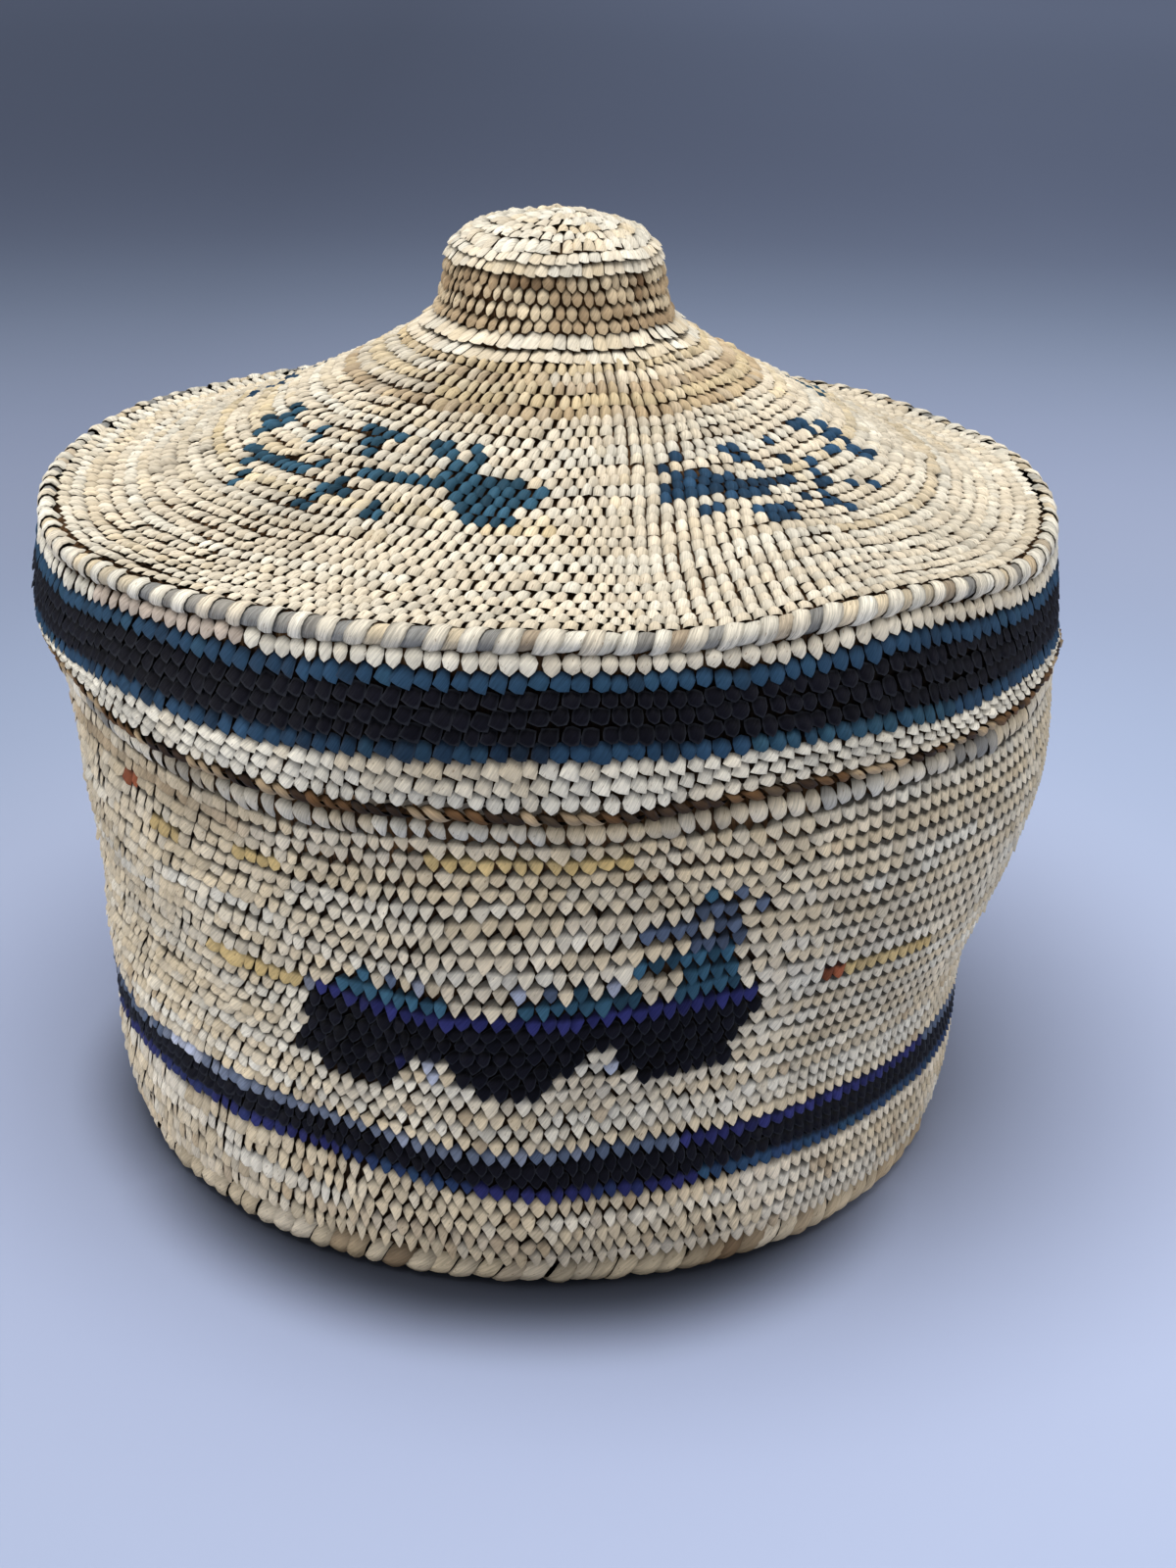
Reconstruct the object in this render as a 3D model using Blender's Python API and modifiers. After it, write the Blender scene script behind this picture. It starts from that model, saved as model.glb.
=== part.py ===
"""Lidded trinket basket of wrapped twining, built piece by piece.

The basket stands on its foot course with its base centre at the origin. All sizes are in metres and
+Z is up. The uprights (warps) of each half are one thin shell, and every zone of weft courses is a
ring that lies on the outside of that shell. The lid drops over the neck and rests on the shoulder.
"""
import math

import bpy

# Facets round every turned piece
SEGMENTS = 36
# Points along each curved outline
WALL_POINTS = 4
CONE_POINTS = 4
RIDGE_POINTS = 8

# Strands and gaps
CLEARANCE = 0.0003
COURSE_THICKNESS = 0.0010
WARP_THICKNESS = 0.0009

# Base and foot
FOOT_RADIUS = 0.0540
FOOT_HALF_WIDTH = 0.0019
FOOT_HALF_HEIGHT = 0.0024
FOOT_FLAT = 0.0002
PLAIT_RADIUS = 0.0300
BASE_COURSE_THICKNESS = 0.0009

# How far the wall flares out past the foot, and then past each level below
HEEL_FLARE = 0.0027
BAND_FLARE = 0.0017
FIGURE_FLARE = 0.0038
TOP_FLARE = 0.0021

# Courses of the wall: how many in each zone, and how tall one is
HEEL_COURSE = 0.00205
FINE_COURSE = 0.00170
WIDE_COURSE = 0.00207
HEEL_COURSES = 5
LOWER_BLUE_COURSES = 1
LOWER_DARK_COURSES = 2
LOWER_SLATE_COURSES = 1
PLAIN_COURSES = 4
FIGURE_FINE_COURSES = 6
FIGURE_WIDE_COURSES = 9
UPPER_COURSES = 3

# Shoulder, neck and body rim
SHOULDER_HEIGHT = 0.0026
SHOULDER_PROUD = 0.0007
NECK_STEP = 0.0017
LID_HEADROOM = 0.0042
BODY_RIM_HEIGHT = 0.0018

# Lid skirt
LID_CLEARANCE = 0.0012
SKIRT_BELLY = 0.0004
EDGE_DRAW_IN = 0.0010
LID_RIM_HEIGHT = 0.0016
SKIRT_COURSE = 0.00191
SKIRT_WHITE_COURSES = 3
SKIRT_BLUE_COURSES = 1
SKIRT_DARK_COURSES = 3
EDGE_HALF_WIDTH = 0.0013
EDGE_HALF_HEIGHT = 0.0012

# Lid cone: it climbs by CONE_RISE from the edge to the knob, steeper near the knob
CONE_RISE = 0.0190
CONE_CURVE = 1.4
CONE_FIGURE_START = 0.0260
CONE_FIGURE_END = 0.0445

# Knob
KNOB_NECK_RADIUS = 0.0143
KNOB_NECK_HEIGHT = 0.0072
KNOB_NECK_TAPER = 0.0010
KNOB_FOOT_STEP = 0.0020
KNOB_FOOT_HALF = 0.0010
KNOB_RIDGE_HALF = 0.0010
CROWN_RISE = 0.0030

# Colours of the fibres, linear RGB
CREAM = (0.66, 0.57, 0.40)
WHITE = (0.76, 0.71, 0.58)
YELLOW = (0.66, 0.53, 0.30)
TAN = (0.50, 0.38, 0.24)
CEDAR = (0.16, 0.085, 0.042)
BLUE = (0.020, 0.070, 0.170)
ROYAL = (0.030, 0.036, 0.230)
SLATE = (0.150, 0.200, 0.320)
NAVY = (0.012, 0.012, 0.022)
GRASS_ROUGHNESS = 0.50
BARK_ROUGHNESS = 0.75

PART_NAME = "makah_lidded_basket"


def clear_scene():
    """Remove every object, so that the model starts from nothing."""
    for item in list(bpy.data.objects):
        bpy.data.objects.remove(item, do_unlink=True)


def make_collection(name):
    """Return a new collection linked to the scene."""
    collection = bpy.data.collections.new(name)
    bpy.context.scene.collection.children.link(collection)
    return collection


def make_anchor(name, height, collection):
    """Return an empty on the Z axis that carries one half of the basket."""
    anchor = bpy.data.objects.new(name, None)
    anchor.location = (0.0, 0.0, height)
    collection.objects.link(anchor)
    return anchor


def make_material(name, colour, roughness):
    """Return a plain Principled material for one piece."""
    material = bpy.data.materials.new(name)
    material.use_nodes = True
    shader = material.node_tree.nodes["Principled BSDF"]
    shader.inputs["Base Color"].default_value = (*colour, 1.0)
    shader.inputs["Roughness"].default_value = roughness
    shader.inputs["Metallic"].default_value = 0.0
    return material


def turned(name, outline, closed, anchor, colour, roughness=GRASS_ROUGHNESS):
    """Turn an outline of (radius, height) points round the Z axis.

    The outline runs down the outer side and back up the inner side. A closed outline makes a ring,
    and an open one starts and ends on the axis.
    """
    seat = min(point[1] for point in outline)
    vertices = [(radius, 0.0, height - seat) for radius, height in outline]
    edges = [(index, index + 1) for index in range(len(vertices) - 1)]
    if closed:
        edges.append((len(vertices) - 1, 0))
    mesh = bpy.data.meshes.new(name)
    mesh.from_pydata(vertices, edges, [])
    piece = bpy.data.objects.new(name, mesh)
    piece.parent = anchor
    piece.location = (0.0, 0.0, seat - anchor.location.z)
    anchor.users_collection[0].objects.link(piece)
    mesh.materials.append(make_material(name, colour, roughness))
    screw = piece.modifiers.new("Turn", "SCREW")
    screw.axis = "Z"
    screw.angle = 2.0 * math.pi
    screw.steps = SEGMENTS
    screw.render_steps = SEGMENTS
    screw.use_merge_vertices = True
    screw.merge_threshold = 0.00001
    screw.use_smooth_shade = True
    return piece


def smooth_curve(knots, x):
    """Read a smooth curve through (x, y) knots, with the slope of its neighbours at each knot."""
    if x <= knots[0][0]:
        return knots[0][1]
    if x >= knots[-1][0]:
        return knots[-1][1]
    last = len(knots) - 1
    index = next(i for i in range(last) if knots[i][0] <= x <= knots[i + 1][0])

    def slope(i):
        low = max(i - 1, 0)
        high = min(i + 1, last)
        return (knots[high][1] - knots[low][1]) / (knots[high][0] - knots[low][0])

    (x0, y0), (x1, y1) = knots[index], knots[index + 1]
    span = x1 - x0
    t = (x - x0) / span
    start = slope(index) * span
    end = slope(index + 1) * span
    bend = 2.0 * (y0 - y1) + start + end
    return y0 + start * t + (3.0 * (y1 - y0) - 2.0 * start - end) * t * t + bend * t * t * t


def spread(low, high, count):
    """Return count evenly spaced values from low to high."""
    return [low + (high - low) * i / (count - 1) for i in range(count)]


def oval(radius, height, half_width, half_height):
    """Outline of a twisted ridge, run clockwise from its top."""
    turns = [2.0 * math.pi * i / RIDGE_POINTS for i in range(RIDGE_POINTS)]
    return [(radius + half_width * math.sin(a), height + half_height * math.cos(a)) for a in turns]


def offset_inward(points, distance):
    """Shift a line of (radius, height) points to its inner side, mitred at each corner.

    The line runs downwards along the outer surface, so its inner side is on the right hand.
    """
    shifted = []
    for i, (radius, height) in enumerate(points):
        normals = []
        for a, b in ((i - 1, i), (i, i + 1)):
            if a < 0 or b >= len(points):
                continue
            along = (points[b][0] - points[a][0], points[b][1] - points[a][1])
            length = math.hypot(*along)
            normals.append((along[1] / length, -along[0] / length))
        mean = (sum(n[0] for n in normals), sum(n[1] for n in normals))
        size = math.hypot(*mean)
        mean = (mean[0] / size, mean[1] / size)
        reach = distance / (mean[0] * normals[0][0] + mean[1] * normals[0][1])
        shifted.append((max(radius + mean[0] * reach, 0.0), height + mean[1] * reach))
    return shifted


# Outer radius of the wall, from the heel up to the shoulder
HEEL_RADIUS = FOOT_RADIUS + HEEL_FLARE
BAND_RADIUS = HEEL_RADIUS + BAND_FLARE
FIGURE_RADIUS = BAND_RADIUS + FIGURE_FLARE
WALL_TOP_RADIUS = FIGURE_RADIUS + TOP_FLARE

# Heights of the wall's zones, stacked up from the foot
FOOT_CENTRE = FOOT_HALF_HEIGHT - FOOT_FLAT
FOOT_TOP = FOOT_CENTRE + FOOT_HALF_HEIGHT
FIGURE_ZONE_HEIGHT = FIGURE_FINE_COURSES * FINE_COURSE + FIGURE_WIDE_COURSES * WIDE_COURSE
WALL_ZONES = (
    ("wall_lower_courses", HEEL_COURSES * HEEL_COURSE, CREAM),
    ("lower_band_bottom_blue", LOWER_BLUE_COURSES * FINE_COURSE, ROYAL),
    ("lower_band_dark", LOWER_DARK_COURSES * FINE_COURSE, NAVY),
    ("lower_band_top_slate", LOWER_SLATE_COURSES * FINE_COURSE, SLATE),
    ("wall_plain_courses", PLAIN_COURSES * FINE_COURSE, WHITE),
    ("wall_figure_courses", FIGURE_ZONE_HEIGHT, CREAM),
    ("wall_upper_courses", UPPER_COURSES * WIDE_COURSE, YELLOW),
)


def stack_zones(zones, start):
    """Return {name: (bottom, top)} for zones piled up from start, each a gap above the last."""
    spans = {}
    level = start
    for name, height, _ in zones:
        spans[name] = (level + CLEARANCE, level + height)
        level += height
    return spans, level


WALL_SPANS, WALL_TOP = stack_zones(WALL_ZONES, FOOT_TOP)
SHOULDER_CENTRE = WALL_TOP + CLEARANCE + SHOULDER_HEIGHT / 2.0
SHOULDER_TOP = WALL_TOP + CLEARANCE + SHOULDER_HEIGHT
BAND_HEIGHT = sum(WALL_SPANS["lower_band_dark"]) / 2.0
FIGURE_HEIGHT = sum(WALL_SPANS["wall_figure_courses"]) / 2.0
WALL_KNOTS = (
    (FOOT_TOP, HEEL_RADIUS),
    (BAND_HEIGHT, BAND_RADIUS),
    (FIGURE_HEIGHT, FIGURE_RADIUS),
    (WALL_TOP, WALL_TOP_RADIUS),
)

# Radii of the neck and the skirt, each set by what it fits
SHELL_DEPTH = COURSE_THICKNESS + CLEARANCE
WALL_DEPTH = SHELL_DEPTH + WARP_THICKNESS
NECK_RADIUS = WALL_TOP_RADIUS - NECK_STEP
SKIRT_RIM_RADIUS = NECK_RADIUS + LID_CLEARANCE + WALL_DEPTH
SKIRT_MID_RADIUS = SKIRT_RIM_RADIUS + SKIRT_BELLY
EDGE_RADIUS = SKIRT_RIM_RADIUS - EDGE_DRAW_IN

# Heights of the lid's skirt, stacked up from its rim
LID_SEAT = SHOULDER_TOP + CLEARANCE
SKIRT_START = LID_SEAT + LID_RIM_HEIGHT
SKIRT_ZONES = (
    ("lid_skirt_white_courses", SKIRT_WHITE_COURSES * SKIRT_COURSE, WHITE),
    ("lid_band_bottom_blue", SKIRT_BLUE_COURSES * SKIRT_COURSE, BLUE),
    ("lid_band_dark", SKIRT_DARK_COURSES * SKIRT_COURSE, NAVY),
    ("lid_band_top_blue", SKIRT_BLUE_COURSES * SKIRT_COURSE, BLUE),
    ("lid_side_white_course", SKIRT_COURSE, WHITE),
)
SKIRT_SPANS, SKIRT_TOP = stack_zones(SKIRT_ZONES, SKIRT_START)
EDGE_CENTRE = SKIRT_TOP + CLEARANCE + EDGE_HALF_HEIGHT
BODY_RIM_SEAT = EDGE_CENTRE - LID_HEADROOM - BODY_RIM_HEIGHT
SKIRT_KNOTS = (
    (LID_SEAT, SKIRT_RIM_RADIUS),
    ((LID_SEAT + SKIRT_TOP) / 2.0, SKIRT_MID_RADIUS),
    (SKIRT_TOP, EDGE_RADIUS),
)

# Radii of the knob, from its foot ridge up to its crown
KNOB_FOOT_RADIUS = KNOB_NECK_RADIUS + KNOB_FOOT_STEP
KNOB_NECK_TOP_RADIUS = KNOB_NECK_RADIUS - KNOB_NECK_TAPER
KNOB_RIDGE_RADIUS = KNOB_NECK_TOP_RADIUS - KNOB_RIDGE_HALF / 2.0
CROWN_RADIUS = KNOB_RIDGE_RADIUS - KNOB_RIDGE_HALF - CLEARANCE

# The cone starts inside the edge ridge and ends outside the knob's foot ridge
CONE_OUTER = EDGE_RADIUS - 2.0 * EDGE_HALF_WIDTH - CLEARANCE
CONE_INNER = KNOB_FOOT_RADIUS + KNOB_FOOT_HALF + CLEARANCE

# Heights of the knob, stacked up from the cone
KNOB_FOOT_CENTRE = EDGE_CENTRE + CONE_RISE + KNOB_FOOT_HALF
NECK_START = KNOB_FOOT_CENTRE + KNOB_FOOT_HALF + CLEARANCE
NECK_END = NECK_START + KNOB_NECK_HEIGHT
KNOB_RIDGE_CENTRE = NECK_END + CLEARANCE + KNOB_RIDGE_HALF
CROWN_EDGE = KNOB_RIDGE_CENTRE + KNOB_RIDGE_HALF


def wall_radius(height):
    """Outer radius of the basket's wall at a height."""
    return smooth_curve(WALL_KNOTS, height)


def skirt_radius(height):
    """Outer radius of the lid's skirt at a height."""
    return smooth_curve(SKIRT_KNOTS, height)


def cone_height(radius):
    """Height of the lid's top surface at a radius."""
    share = (EDGE_RADIUS - radius) / (EDGE_RADIUS - CONE_INNER)
    return EDGE_CENTRE + CONE_RISE * max(share, 0.0) ** CONE_CURVE


def crown_height(radius):
    """Height of the knob's domed top at a radius."""
    return CROWN_EDGE + CROWN_RISE * (1.0 - (radius / CROWN_RADIUS) ** 2)


def band_outline(radius_at, bottom, top, thickness, count):
    """Closed outline of a band that hugs a wall from bottom to top."""
    levels = spread(top, bottom, count)
    outer = [(radius_at(level), level) for level in levels]
    inner = [(radius_at(level) - thickness, level) for level in reversed(levels)]
    return outer + inner


def build_base(anchor):
    """The plaited centre, the twined ring round it and the twisted foot course."""
    plait_top = BASE_COURSE_THICKNESS + CLEARANCE + WARP_THICKNESS
    plait = [(0.0, plait_top), (PLAIT_RADIUS, plait_top), (PLAIT_RADIUS, 0.0), (0.0, 0.0)]
    turned("base_plait", plait, False, anchor, CEDAR, BARK_ROUGHNESS)

    ring_outer = FOOT_RADIUS - FOOT_HALF_WIDTH - CLEARANCE
    ring_inner = PLAIT_RADIUS + CLEARANCE
    ring = [
        (ring_outer, BASE_COURSE_THICKNESS),
        (ring_outer, 0.0),
        (ring_inner, 0.0),
        (ring_inner, BASE_COURSE_THICKNESS),
    ]
    turned("base_courses", ring, True, anchor, TAN)

    foot = oval(FOOT_RADIUS, FOOT_CENTRE, FOOT_HALF_WIDTH, FOOT_HALF_HEIGHT)
    foot = [(radius, max(height, 0.0)) for radius, height in foot]
    lowest = foot.index(min(foot, key=lambda point: point[1]))
    half_flat = FOOT_HALF_WIDTH * math.sin(math.pi / RIDGE_POINTS)
    foot[lowest:lowest + 1] = [(FOOT_RADIUS + half_flat, 0.0), (FOOT_RADIUS - half_flat, 0.0)]
    turned("foot_course", foot, True, anchor, CREAM)


def build_body_warps(anchor):
    """The cup of cedar uprights that every course of the basket is wrapped on."""
    neck_shell = NECK_RADIUS - SHELL_DEPTH
    floor = BASE_COURSE_THICKNESS + CLEARANCE + WARP_THICKNESS
    seat = floor - WARP_THICKNESS
    heel_inner = FOOT_RADIUS - FOOT_HALF_WIDTH - CLEARANCE
    heel_bend = FOOT_TOP + CLEARANCE
    heel_top = heel_bend + WARP_THICKNESS
    line = [(neck_shell, BODY_RIM_SEAT - CLEARANCE), (neck_shell, SHOULDER_TOP + CLEARANCE)]
    for level in spread(WALL_TOP, heel_top, 2 * WALL_POINTS):
        line.append((wall_radius(level) - SHELL_DEPTH, level))
    line.append((heel_inner, heel_bend))
    line.append((heel_inner, seat))
    line.append((PLAIT_RADIUS + CLEARANCE, seat))
    inner = offset_inward(line, WARP_THICKNESS)
    turned("body_warps", line + inner[::-1], True, anchor, CEDAR, BARK_ROUGHNESS)


def build_wall(anchor):
    """The zones of weft courses, from the foot up to the shoulder."""
    for name, _, colour in WALL_ZONES:
        bottom, top = WALL_SPANS[name]
        count = WALL_POINTS if top - bottom > 2.0 * WIDE_COURSE else 2
        outline = band_outline(wall_radius, bottom, top, COURSE_THICKNESS, count)
        turned(name, outline, True, anchor, colour)


def build_neck(anchor):
    """The shoulder ridge that the lid rests on, the hidden neck and the braided body rim."""
    inner = WALL_TOP_RADIUS - COURSE_THICKNESS
    outer = WALL_TOP_RADIUS + SHOULDER_PROUD
    bottom = WALL_TOP + CLEARANCE
    bevel = SHOULDER_PROUD
    shoulder = [
        (outer - bevel, SHOULDER_TOP),
        (outer, SHOULDER_TOP - bevel),
        (outer, bottom + bevel),
        (outer - bevel, bottom),
        (inner, bottom),
        (NECK_RADIUS, SHOULDER_TOP),
    ]
    turned("shoulder_course", shoulder, True, anchor, WHITE)

    def neck_radius(_):
        return NECK_RADIUS

    neck_bottom = SHOULDER_TOP + CLEARANCE
    neck_top = BODY_RIM_SEAT - CLEARANCE
    neck = band_outline(neck_radius, neck_bottom, neck_top, COURSE_THICKNESS, 2)
    turned("neck_courses", neck, True, anchor, CREAM)

    half_width = WALL_DEPTH / 2.0
    half_height = BODY_RIM_HEIGHT / 2.0
    rim = oval(NECK_RADIUS - half_width, BODY_RIM_SEAT + half_height, half_width, half_height)
    turned("body_rim_braid", rim, True, anchor, CEDAR, BARK_ROUGHNESS)


def build_lid_warps(anchor):
    """The bell of cedar uprights under the whole lid, knob included."""
    crest = [(0.0, crown_height(0.0)), (CROWN_RADIUS, CROWN_EDGE)]
    crest.append((KNOB_RIDGE_RADIUS, KNOB_RIDGE_CENTRE))
    crest.append((KNOB_NECK_RADIUS, NECK_START))
    for radius in spread(CONE_INNER, CONE_OUTER, 2 * CONE_POINTS):
        crest.append((radius, cone_height(radius)))
    crest.append((EDGE_RADIUS, SKIRT_TOP))
    for level in spread(SKIRT_TOP, SKIRT_START + CLEARANCE, WALL_POINTS)[1:]:
        crest.append((skirt_radius(level), level))
    outer = offset_inward(crest, SHELL_DEPTH)
    inner = offset_inward(crest, WALL_DEPTH)
    for line, depth in ((outer, SHELL_DEPTH), (inner, WALL_DEPTH)):
        line[0] = (0.0, crest[0][1] - depth)
        line[-1] = (crest[-1][0] - depth, crest[-1][1])
    turned("lid_warps", outer + inner[::-1], False, anchor, CEDAR, BARK_ROUGHNESS)


def cone_zone(name, inner_radius, outer_radius, anchor, colour):
    """One zone of courses on the lid's cone, from inner_radius out to outer_radius."""
    crest = [(radius, cone_height(radius)) for radius in spread(inner_radius, outer_radius, CONE_POINTS)]
    under = offset_inward(crest, COURSE_THICKNESS)
    turned(name, crest + under[::-1], True, anchor, colour)


def build_cone(anchor):
    """The lid's sloping top in three zones of courses."""
    cone_zone("lid_shoulder_courses", CONE_INNER, CONE_FIGURE_START, anchor, YELLOW)
    cone_zone("lid_figure_courses", CONE_FIGURE_START + CLEARANCE, CONE_FIGURE_END, anchor, CREAM)
    cone_zone("lid_outer_courses", CONE_FIGURE_END + CLEARANCE, CONE_OUTER, anchor, WHITE)


def build_skirt(anchor):
    """The edge ridge, the banded skirt under it and the braided rim."""
    edge = oval(EDGE_RADIUS - EDGE_HALF_WIDTH, EDGE_CENTRE, EDGE_HALF_WIDTH, EDGE_HALF_HEIGHT)
    turned("lid_edge_ridge", edge, True, anchor, WHITE)
    for name, _, colour in SKIRT_ZONES:
        bottom, top = SKIRT_SPANS[name]
        turned(name, band_outline(skirt_radius, bottom, top, COURSE_THICKNESS, 2), True, anchor, colour)
    half_width = WALL_DEPTH / 2.0
    half_height = (LID_RIM_HEIGHT - CLEARANCE) / 2.0
    rim = oval(SKIRT_RIM_RADIUS - half_width, LID_SEAT + half_height, half_width, half_height)
    turned("lid_rim_braid", rim, True, anchor, CEDAR, BARK_ROUGHNESS)


def build_knob(anchor):
    """The hollow knob: foot ridge, neck, top ridge and domed crown."""
    foot = oval(KNOB_FOOT_RADIUS, KNOB_FOOT_CENTRE, KNOB_FOOT_HALF, KNOB_FOOT_HALF)
    turned("knob_foot_ridge", foot, True, anchor, WHITE)
    neck_knots = ((NECK_START, KNOB_NECK_RADIUS), (NECK_END, KNOB_NECK_TOP_RADIUS))

    def neck_radius(height):
        return smooth_curve(neck_knots, height)

    neck = band_outline(neck_radius, NECK_START, NECK_END, COURSE_THICKNESS, 2)
    turned("knob_neck_courses", neck, True, anchor, TAN)
    ridge = oval(KNOB_RIDGE_RADIUS, KNOB_RIDGE_CENTRE, KNOB_RIDGE_HALF, KNOB_RIDGE_HALF)
    turned("knob_top_ridge", ridge, True, anchor, WHITE)
    crest = [(radius, crown_height(radius)) for radius in spread(0.0, CROWN_RADIUS, CONE_POINTS)]
    under = [(radius, height - COURSE_THICKNESS) for radius, height in reversed(crest)]
    turned("knob_crown_courses", crest + under, False, anchor, CREAM)


def main():
    """Build the basket, then the lid that lifts off it."""
    clear_scene()
    collection = make_collection(PART_NAME)
    body = make_anchor("basket_anchor", 0.0, collection)
    lid = make_anchor("lid_lift_anchor", LID_SEAT, collection)
    build_base(body)
    build_body_warps(body)
    build_wall(body)
    build_neck(body)
    build_lid_warps(lid)
    build_cone(lid)
    build_skirt(lid)
    build_knob(lid)
    bpy.context.view_layer.update()


main()
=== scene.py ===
"""Lidded trinket basket of wrapped twining, dressed stitch by stitch around its solids.

Azimuth is measured in degrees round +Z, 0 at the front (-Y) and positive to the right. Lengths in the
code are in millimetres and become metres when a mesh is made.
"""
import math

import bpy
import numpy as np
from bpy.props import FloatProperty, FloatVectorProperty, IntProperty, PointerProperty
from mathutils import Matrix, Vector


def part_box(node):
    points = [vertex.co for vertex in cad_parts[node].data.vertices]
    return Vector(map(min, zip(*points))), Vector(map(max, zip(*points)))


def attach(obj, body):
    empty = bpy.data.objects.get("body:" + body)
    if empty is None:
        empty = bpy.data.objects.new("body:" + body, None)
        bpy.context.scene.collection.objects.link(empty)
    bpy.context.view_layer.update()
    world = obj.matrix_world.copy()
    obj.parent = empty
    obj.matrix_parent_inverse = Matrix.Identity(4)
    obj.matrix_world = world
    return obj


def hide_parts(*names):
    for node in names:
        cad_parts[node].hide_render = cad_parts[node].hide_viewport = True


bl_info = {
    "name": "Lidded twined basket",
    "version": (1, 0, 0),
    "blender": (4, 5, 0),
    "location": "3D View > Sidebar > Basket",
    "description": "Weaves a lidded trinket basket stitch by stitch around its solids",
    "category": "Add Mesh",
}

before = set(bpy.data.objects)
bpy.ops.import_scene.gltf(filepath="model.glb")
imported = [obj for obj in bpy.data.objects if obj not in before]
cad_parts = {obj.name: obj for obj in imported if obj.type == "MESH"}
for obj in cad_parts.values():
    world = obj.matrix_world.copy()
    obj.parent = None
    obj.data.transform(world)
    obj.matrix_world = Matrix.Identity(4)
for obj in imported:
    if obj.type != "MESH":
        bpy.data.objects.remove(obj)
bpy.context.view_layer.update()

MM = 0.001
# The photograph's height in pixels and its camera, fitted to the contours of the basket
FRAME_HEIGHT = 1600.0
FOCAL_PIXELS = 2400.0
SENSOR = 36.0
EYE = (0.0, -0.2959, 0.16925)
YAW, PITCH, ROLL = 0.0209, 0.4018, 0.0273

# Fibre colours, linear RGB, with what each is
DYES = {
    "white": ((0.72, 0.67, 0.56), "Bleached grass of the lid's side"),
    "cream": ((0.70, 0.61, 0.47), "Natural grass of the lid's top"),
    "yellow": ((0.62, 0.50, 0.31), "Yellowed grass near the knob"),
    "tan": ((0.42, 0.31, 0.19), "Tan grass and bark mix"),
    "aged": ((0.64, 0.53, 0.365), "Aged grass of the wall"),
    "bark": ((0.138, 0.072, 0.032), "Cedar bark"),
    "dark_bark": ((0.034, 0.021, 0.014), "Dark cedar bark"),
    "teal": ((0.030, 0.080, 0.122), "Teal dye of the figures"),
    "blue": ((0.022, 0.056, 0.105), "Blue dye of the lid's bands"),
    "royal": ((0.022, 0.024, 0.105), "Royal blue dye of the hull"),
    "slate": ((0.085, 0.110, 0.165), "Faded slate-blue dye"),
    "navy": ((0.005, 0.005, 0.009), "Near-black dye"),
    "rust": ((0.28, 0.085, 0.038), "Rust-red stray fibre"),
    "golden": ((0.56, 0.40, 0.16), "Golden grass runs"),
    "lavender": ((0.33, 0.35, 0.42), "Pale faded blue"),
    "grey": ((0.24, 0.235, 0.22), "Grey striped grass of the lid's edge"),
}

# Outer line of the wall and of the lid's side, as height and radius, and how far each height leans right
WALL_LINE = (
    (3, 56.1), (7.6, 57.4), (14.1, 58.2), (20.6, 58.7), (27.1, 59.3), (33.6, 60.2), (40.1, 61.5),
    (46.6, 63), (53.1, 64), (59.6, 64.5), (64, 64.9),
)
SKIRT_LINE = (
    (66, 65.8), (69.35, 66.2), (75.85, 66.3), (82.35, 65.6), (86.5, 64.9),
)
LEAN_LINE = (
    (0, 0), (7.6, -0.2), (14.1, -0.25), (20.6, -0.45), (27.1, -0.26), (33.6, 0.85), (40.1, 1.7),
    (46.6, 2.1), (53.1, 2.6), (59.6, 2.3), (66.7, 1.1), (75.9, 0.5), (86, 0.3), (130, 0.3),
)

# How far the courses sag or rise at each azimuth, read at a few heights and blended between them
SAG_LOW = (
    (-180, 0), (-120, 1.2), (-69, 2.7), (-46, 3.6), (-30, 2.6), (-17, 1.6), (0, -0.5), (8, 0.3), (18, 0.5),
    (32, 0.9), (49, 1), (90, 0.5),
)
SAG_MIDDLE = (
    (-180, 0), (-90, 2.5), (-46, 2.5), (-26, 1.26), (-17, 0), (-12, -0.4), (-6, 0.2), (2, 0.6), (11, 1.6),
    (19, 2.3), (32, 2.3), (49, 1.8), (90, 1),
)
SAG_HIGH = (
    (-180, 0.2), (-100, 2), (-55, 2.2), (-36, 0.9), (-20, 0.2), (-8, 1), (3, 1.9), (15, 2.7), (35, 2.5),
    (60, 2.2), (100, 1.2),
)
SAG_RIM = (
    (-180, 0.5), (-120, 1.5), (-60, 2.6), (-50, 1.3), (-39, 0.2), (-23, -0.8), (3, 0.1), (23, 1.8),
    (63, 2.8), (120, 1.5),
)
SAG_BAND = (
    (-180, 0.3), (-120, -0.3), (-72, -1.9), (-60, -1.5), (-50, -1.15), (-40, -1.4), (-28, -1.7),
    (-20, -0.9), (-10, -0.1), (10, 0), (35, -0.1), (45, -0.6), (60, -1.4), (75, -2), (120, -0.3),
)
SAG_EDGE = (
    (-180, 0), (-115, -0.2), (-92, -1.2), (-75, -2.2), (-62, -2.6), (-50, -1.7), (-40, -1.3), (-30, -0.8),
    (-20, -0.4), (-8, -0.3), (2, 0.1), (18, 0.15), (30, 0.8), (40, 0.7), (50, -0.5), (62, -1.4),
    (76, -1.9), (95, -1), (120, -0.2),
)
SAG_LEVELS = (
    (0, None), (14.85, SAG_LOW), (39.85, SAG_MIDDLE), (52.85, SAG_HIGH), (67.35, SAG_RIM),
    (74.2, SAG_BAND), (83.7, SAG_EDGE), (87.5, SAG_EDGE), (98, None),
)

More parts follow.
